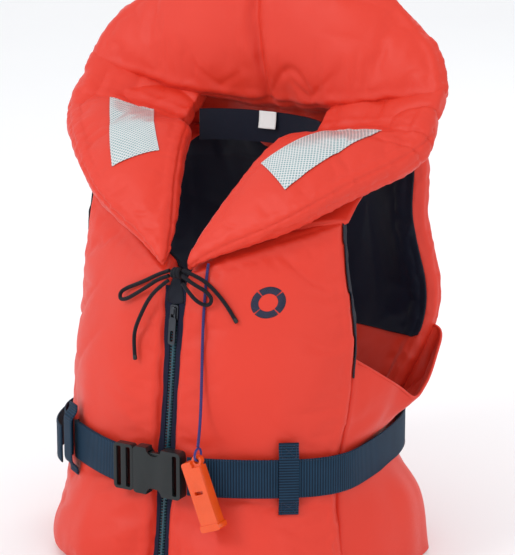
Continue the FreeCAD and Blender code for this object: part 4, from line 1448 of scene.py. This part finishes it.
def belt():
    thick = WEBBING_THICK
    for node, name in (("waist_belt", "waist_belt_webbing"), ("belt_tail", "belt_tail_webbing")):
        line, out = belt_line(node, thick / 2)
        piece = strap(name, smoothed(line, 1), out, BELT_WIDTH, thick, WEBBING)
        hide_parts(node)
        edge_threads(name, line, out, thick)
    line, out = belt_line("belt_buckle_span", thick / 2, math.radians(1.0))
    outer = strap("belt_span_outer", line, out, BELT_WIDTH, thick, WEBBING)
    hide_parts("belt_buckle_span")
    inner_line = [p - n * 2.2 * MM for p, n in zip(line, out)]
    inner = strap("belt_span_inner", inner_line, out, BELT_WIDTH, thick, WEBBING)
    for piece in (outer, inner):
        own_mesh(piece)


def edge_threads(name, line, out, thick):
    for label, rise in (("upper", 18.6), ("lower", -18.6)):
        path = [p + n * (thick / 2 + 0.05 * MM) + Vector((0, 0, rise * MM)) for p, n in zip(line, out)]
        stitches(name + "_" + label, path, lambda p: Vector((p.x, p.y, 0)), THREAD,
                 pitch=3.4 * MM, thread=0.4 * MM, lift=0.1 * MM)


def belt_loops():
    """Webbing loops, sewn down above and below the belt with a box of stitches."""
    for name in ("loop_front_left", "loop_front_right", "loop_back"):
        node = "belt_" + name
        low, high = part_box(node)
        middle = (low + high) / 2
        tree = tree_of_nodes([node])
        radial = Vector((middle.x, middle.y, 0)).normalized()
        if node != "belt_loop_back":
            radial = Vector((0.57 if middle.x > 0 else -0.57, -0.82, 0)).normalized()
        across = Vector((0, 0, 1)).cross(radial).normalized()
        heights = np.linspace(low.z + 0.6 * MM, high.z - 0.6 * MM, 36)
        path = on_loop(tree, middle, radial, across, [(0, z) for z in heights], -WEBBING_THICK / 2)
        piece = strap(name + "_webbing", smoothed(path), radial, LOOP_WIDTH, WEBBING_THICK, WEBBING,
                      across=across)
        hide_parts(node)
        for label, foot in (("upper", high.z - 15 * MM), ("lower", low.z + 3 * MM)):
            spots = box_with_cross(7.5 * MM, foot, foot + 12 * MM)
            line = on_loop(tree, middle, radial, across, spots, 0.1 * MM)
            stitches(name + "_stitch_" + label, line, radial, THREAD, pitch=2.4 * MM,
                     thread=0.55 * MM, lift=0.3 * MM)


def on_loop(tree, middle, radial, across, spots, rise):
    """Points on a loop's outer face, raised by rise. A spot is how far across it is, and its height."""
    line = []
    for x, z in spots:
        start = Vector((middle.x, middle.y, z)) + across * x + radial * 0.05
        hit = tree.ray_cast(start, -radial, 0.1)
        if hit[0] is not None:
            line.append(hit[0] + radial * rise)
    return line


def box_with_cross(half, low, high):
    """The spots of a sewn square and the cross in it."""
    corners = ((-half, low), (half, low), (half, high), (-half, high), (-half, low), (half, high),
               (half, low), (-half, high))
    return [(x0 + (x1 - x0) * k / 8, z0 + (z1 - z0) * k / 8)
            for (x0, z0), (x1, z1) in zip(corners, corners[1:]) for k in range(8)]


# ---- emblem ----
EMBLEM_CENTRE = (94, 296)   # across and up, mm
EMBLEM_RADIUS = 15.0


def emblem(cushion):
    """A small ring buoy in satin stitch on the left chest, with its four bands left as gaps."""
    tree = tree_of_mesh(cushion.obj.data)
    points, faces = [], []
    rows = 200
    for i in range(rows):
        turn = math.tau * i / rows
        if abs(math.cos(2 * turn)) < 0.12:
            continue
        ends = []
        for radius in (EMBLEM_RADIUS * 0.56, EMBLEM_RADIUS):
            x = EMBLEM_CENTRE[0] + radius * math.cos(turn)
            z = EMBLEM_CENTRE[1] + radius * math.sin(turn)
            hit = tree.ray_cast(Vector((x * MM, -0.3, z * MM)), Vector((0, 1, 0)), 0.4)
            ends.append(hit[0])
            up = hit[1]
        if up.y > 0:
            up = -up
        ahead = (ends[1] - ends[0]).normalized()
        side = ahead.cross(up).normalized()
        faces += tube_faces(THREAD_RINGS, THREAD_SIDES, len(points))
        for k in range(THREAD_RINGS):
            f = k / (THREAD_RINGS - 1)
            middle = ends[0].lerp(ends[1], f) + up * (0.10 + 0.45 * math.sin(math.pi * f)) * MM
            points += ring_round(middle, side, up, 0.24 * MM, THREAD_SIDES)
    add_object("emblem_ring", mesh_of("emblem_ring", points, faces), THREAD)


# ---- stage ----
def add_area(name, location, target, size, power, colour=(1, 1, 1)):
    data = bpy.data.lights.new(name, "AREA")
    data.shape = "DISK"
    data.size = size
    data.energy = power
    data.color = colour
    light = linked(name, data)
    light.location = location
    light.rotation_euler = (Vector(location) - Vector(target)).to_track_quat("Z", "Y").to_euler()


def add_stage():
    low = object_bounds()[0]
    mesh = mesh_of("floor", [(-6, -6, 0), (6, -6, 0), (6, 6, 0), (-6, 6, 0)], [(0, 1, 2, 3)])
    floor = linked("floor", mesh)
    mesh.materials.append(floor_material())
    floor.location.z = low[2] - 0.5 * MM
    target = (0, 0, 0.32)
    add_area("key", (-1.0, -2.1, 1.9), target, 0.9, 21)
    add_area("fill", (2.4, -1.6, 1.1), target, 1.6, 7)
    add_area("rim", (0.4, 2.2, 1.9), target, 1.4, 10)
    world = bpy.data.worlds.new("studio")
    world.use_nodes = True
    background = world.node_tree.nodes["Background"]
    background.inputs["Color"].default_value = (0.97, 0.98, 1.0, 1)
    background.inputs["Strength"].default_value = 1.0
    bpy.context.scene.world = world
    bpy.context.scene.view_settings.view_transform = "Standard"


add_camera()
neck_lace()
cushions = make_cushions()
emblem(cushions["front_left"])
side_gussets()
shoulder_straps()
neck_band()
zip_pieces()
zip_garage()
hard_parts()
whistle_pieces()
belt()
belt_loops()
add_stage()
bpy.context.view_layer.update()
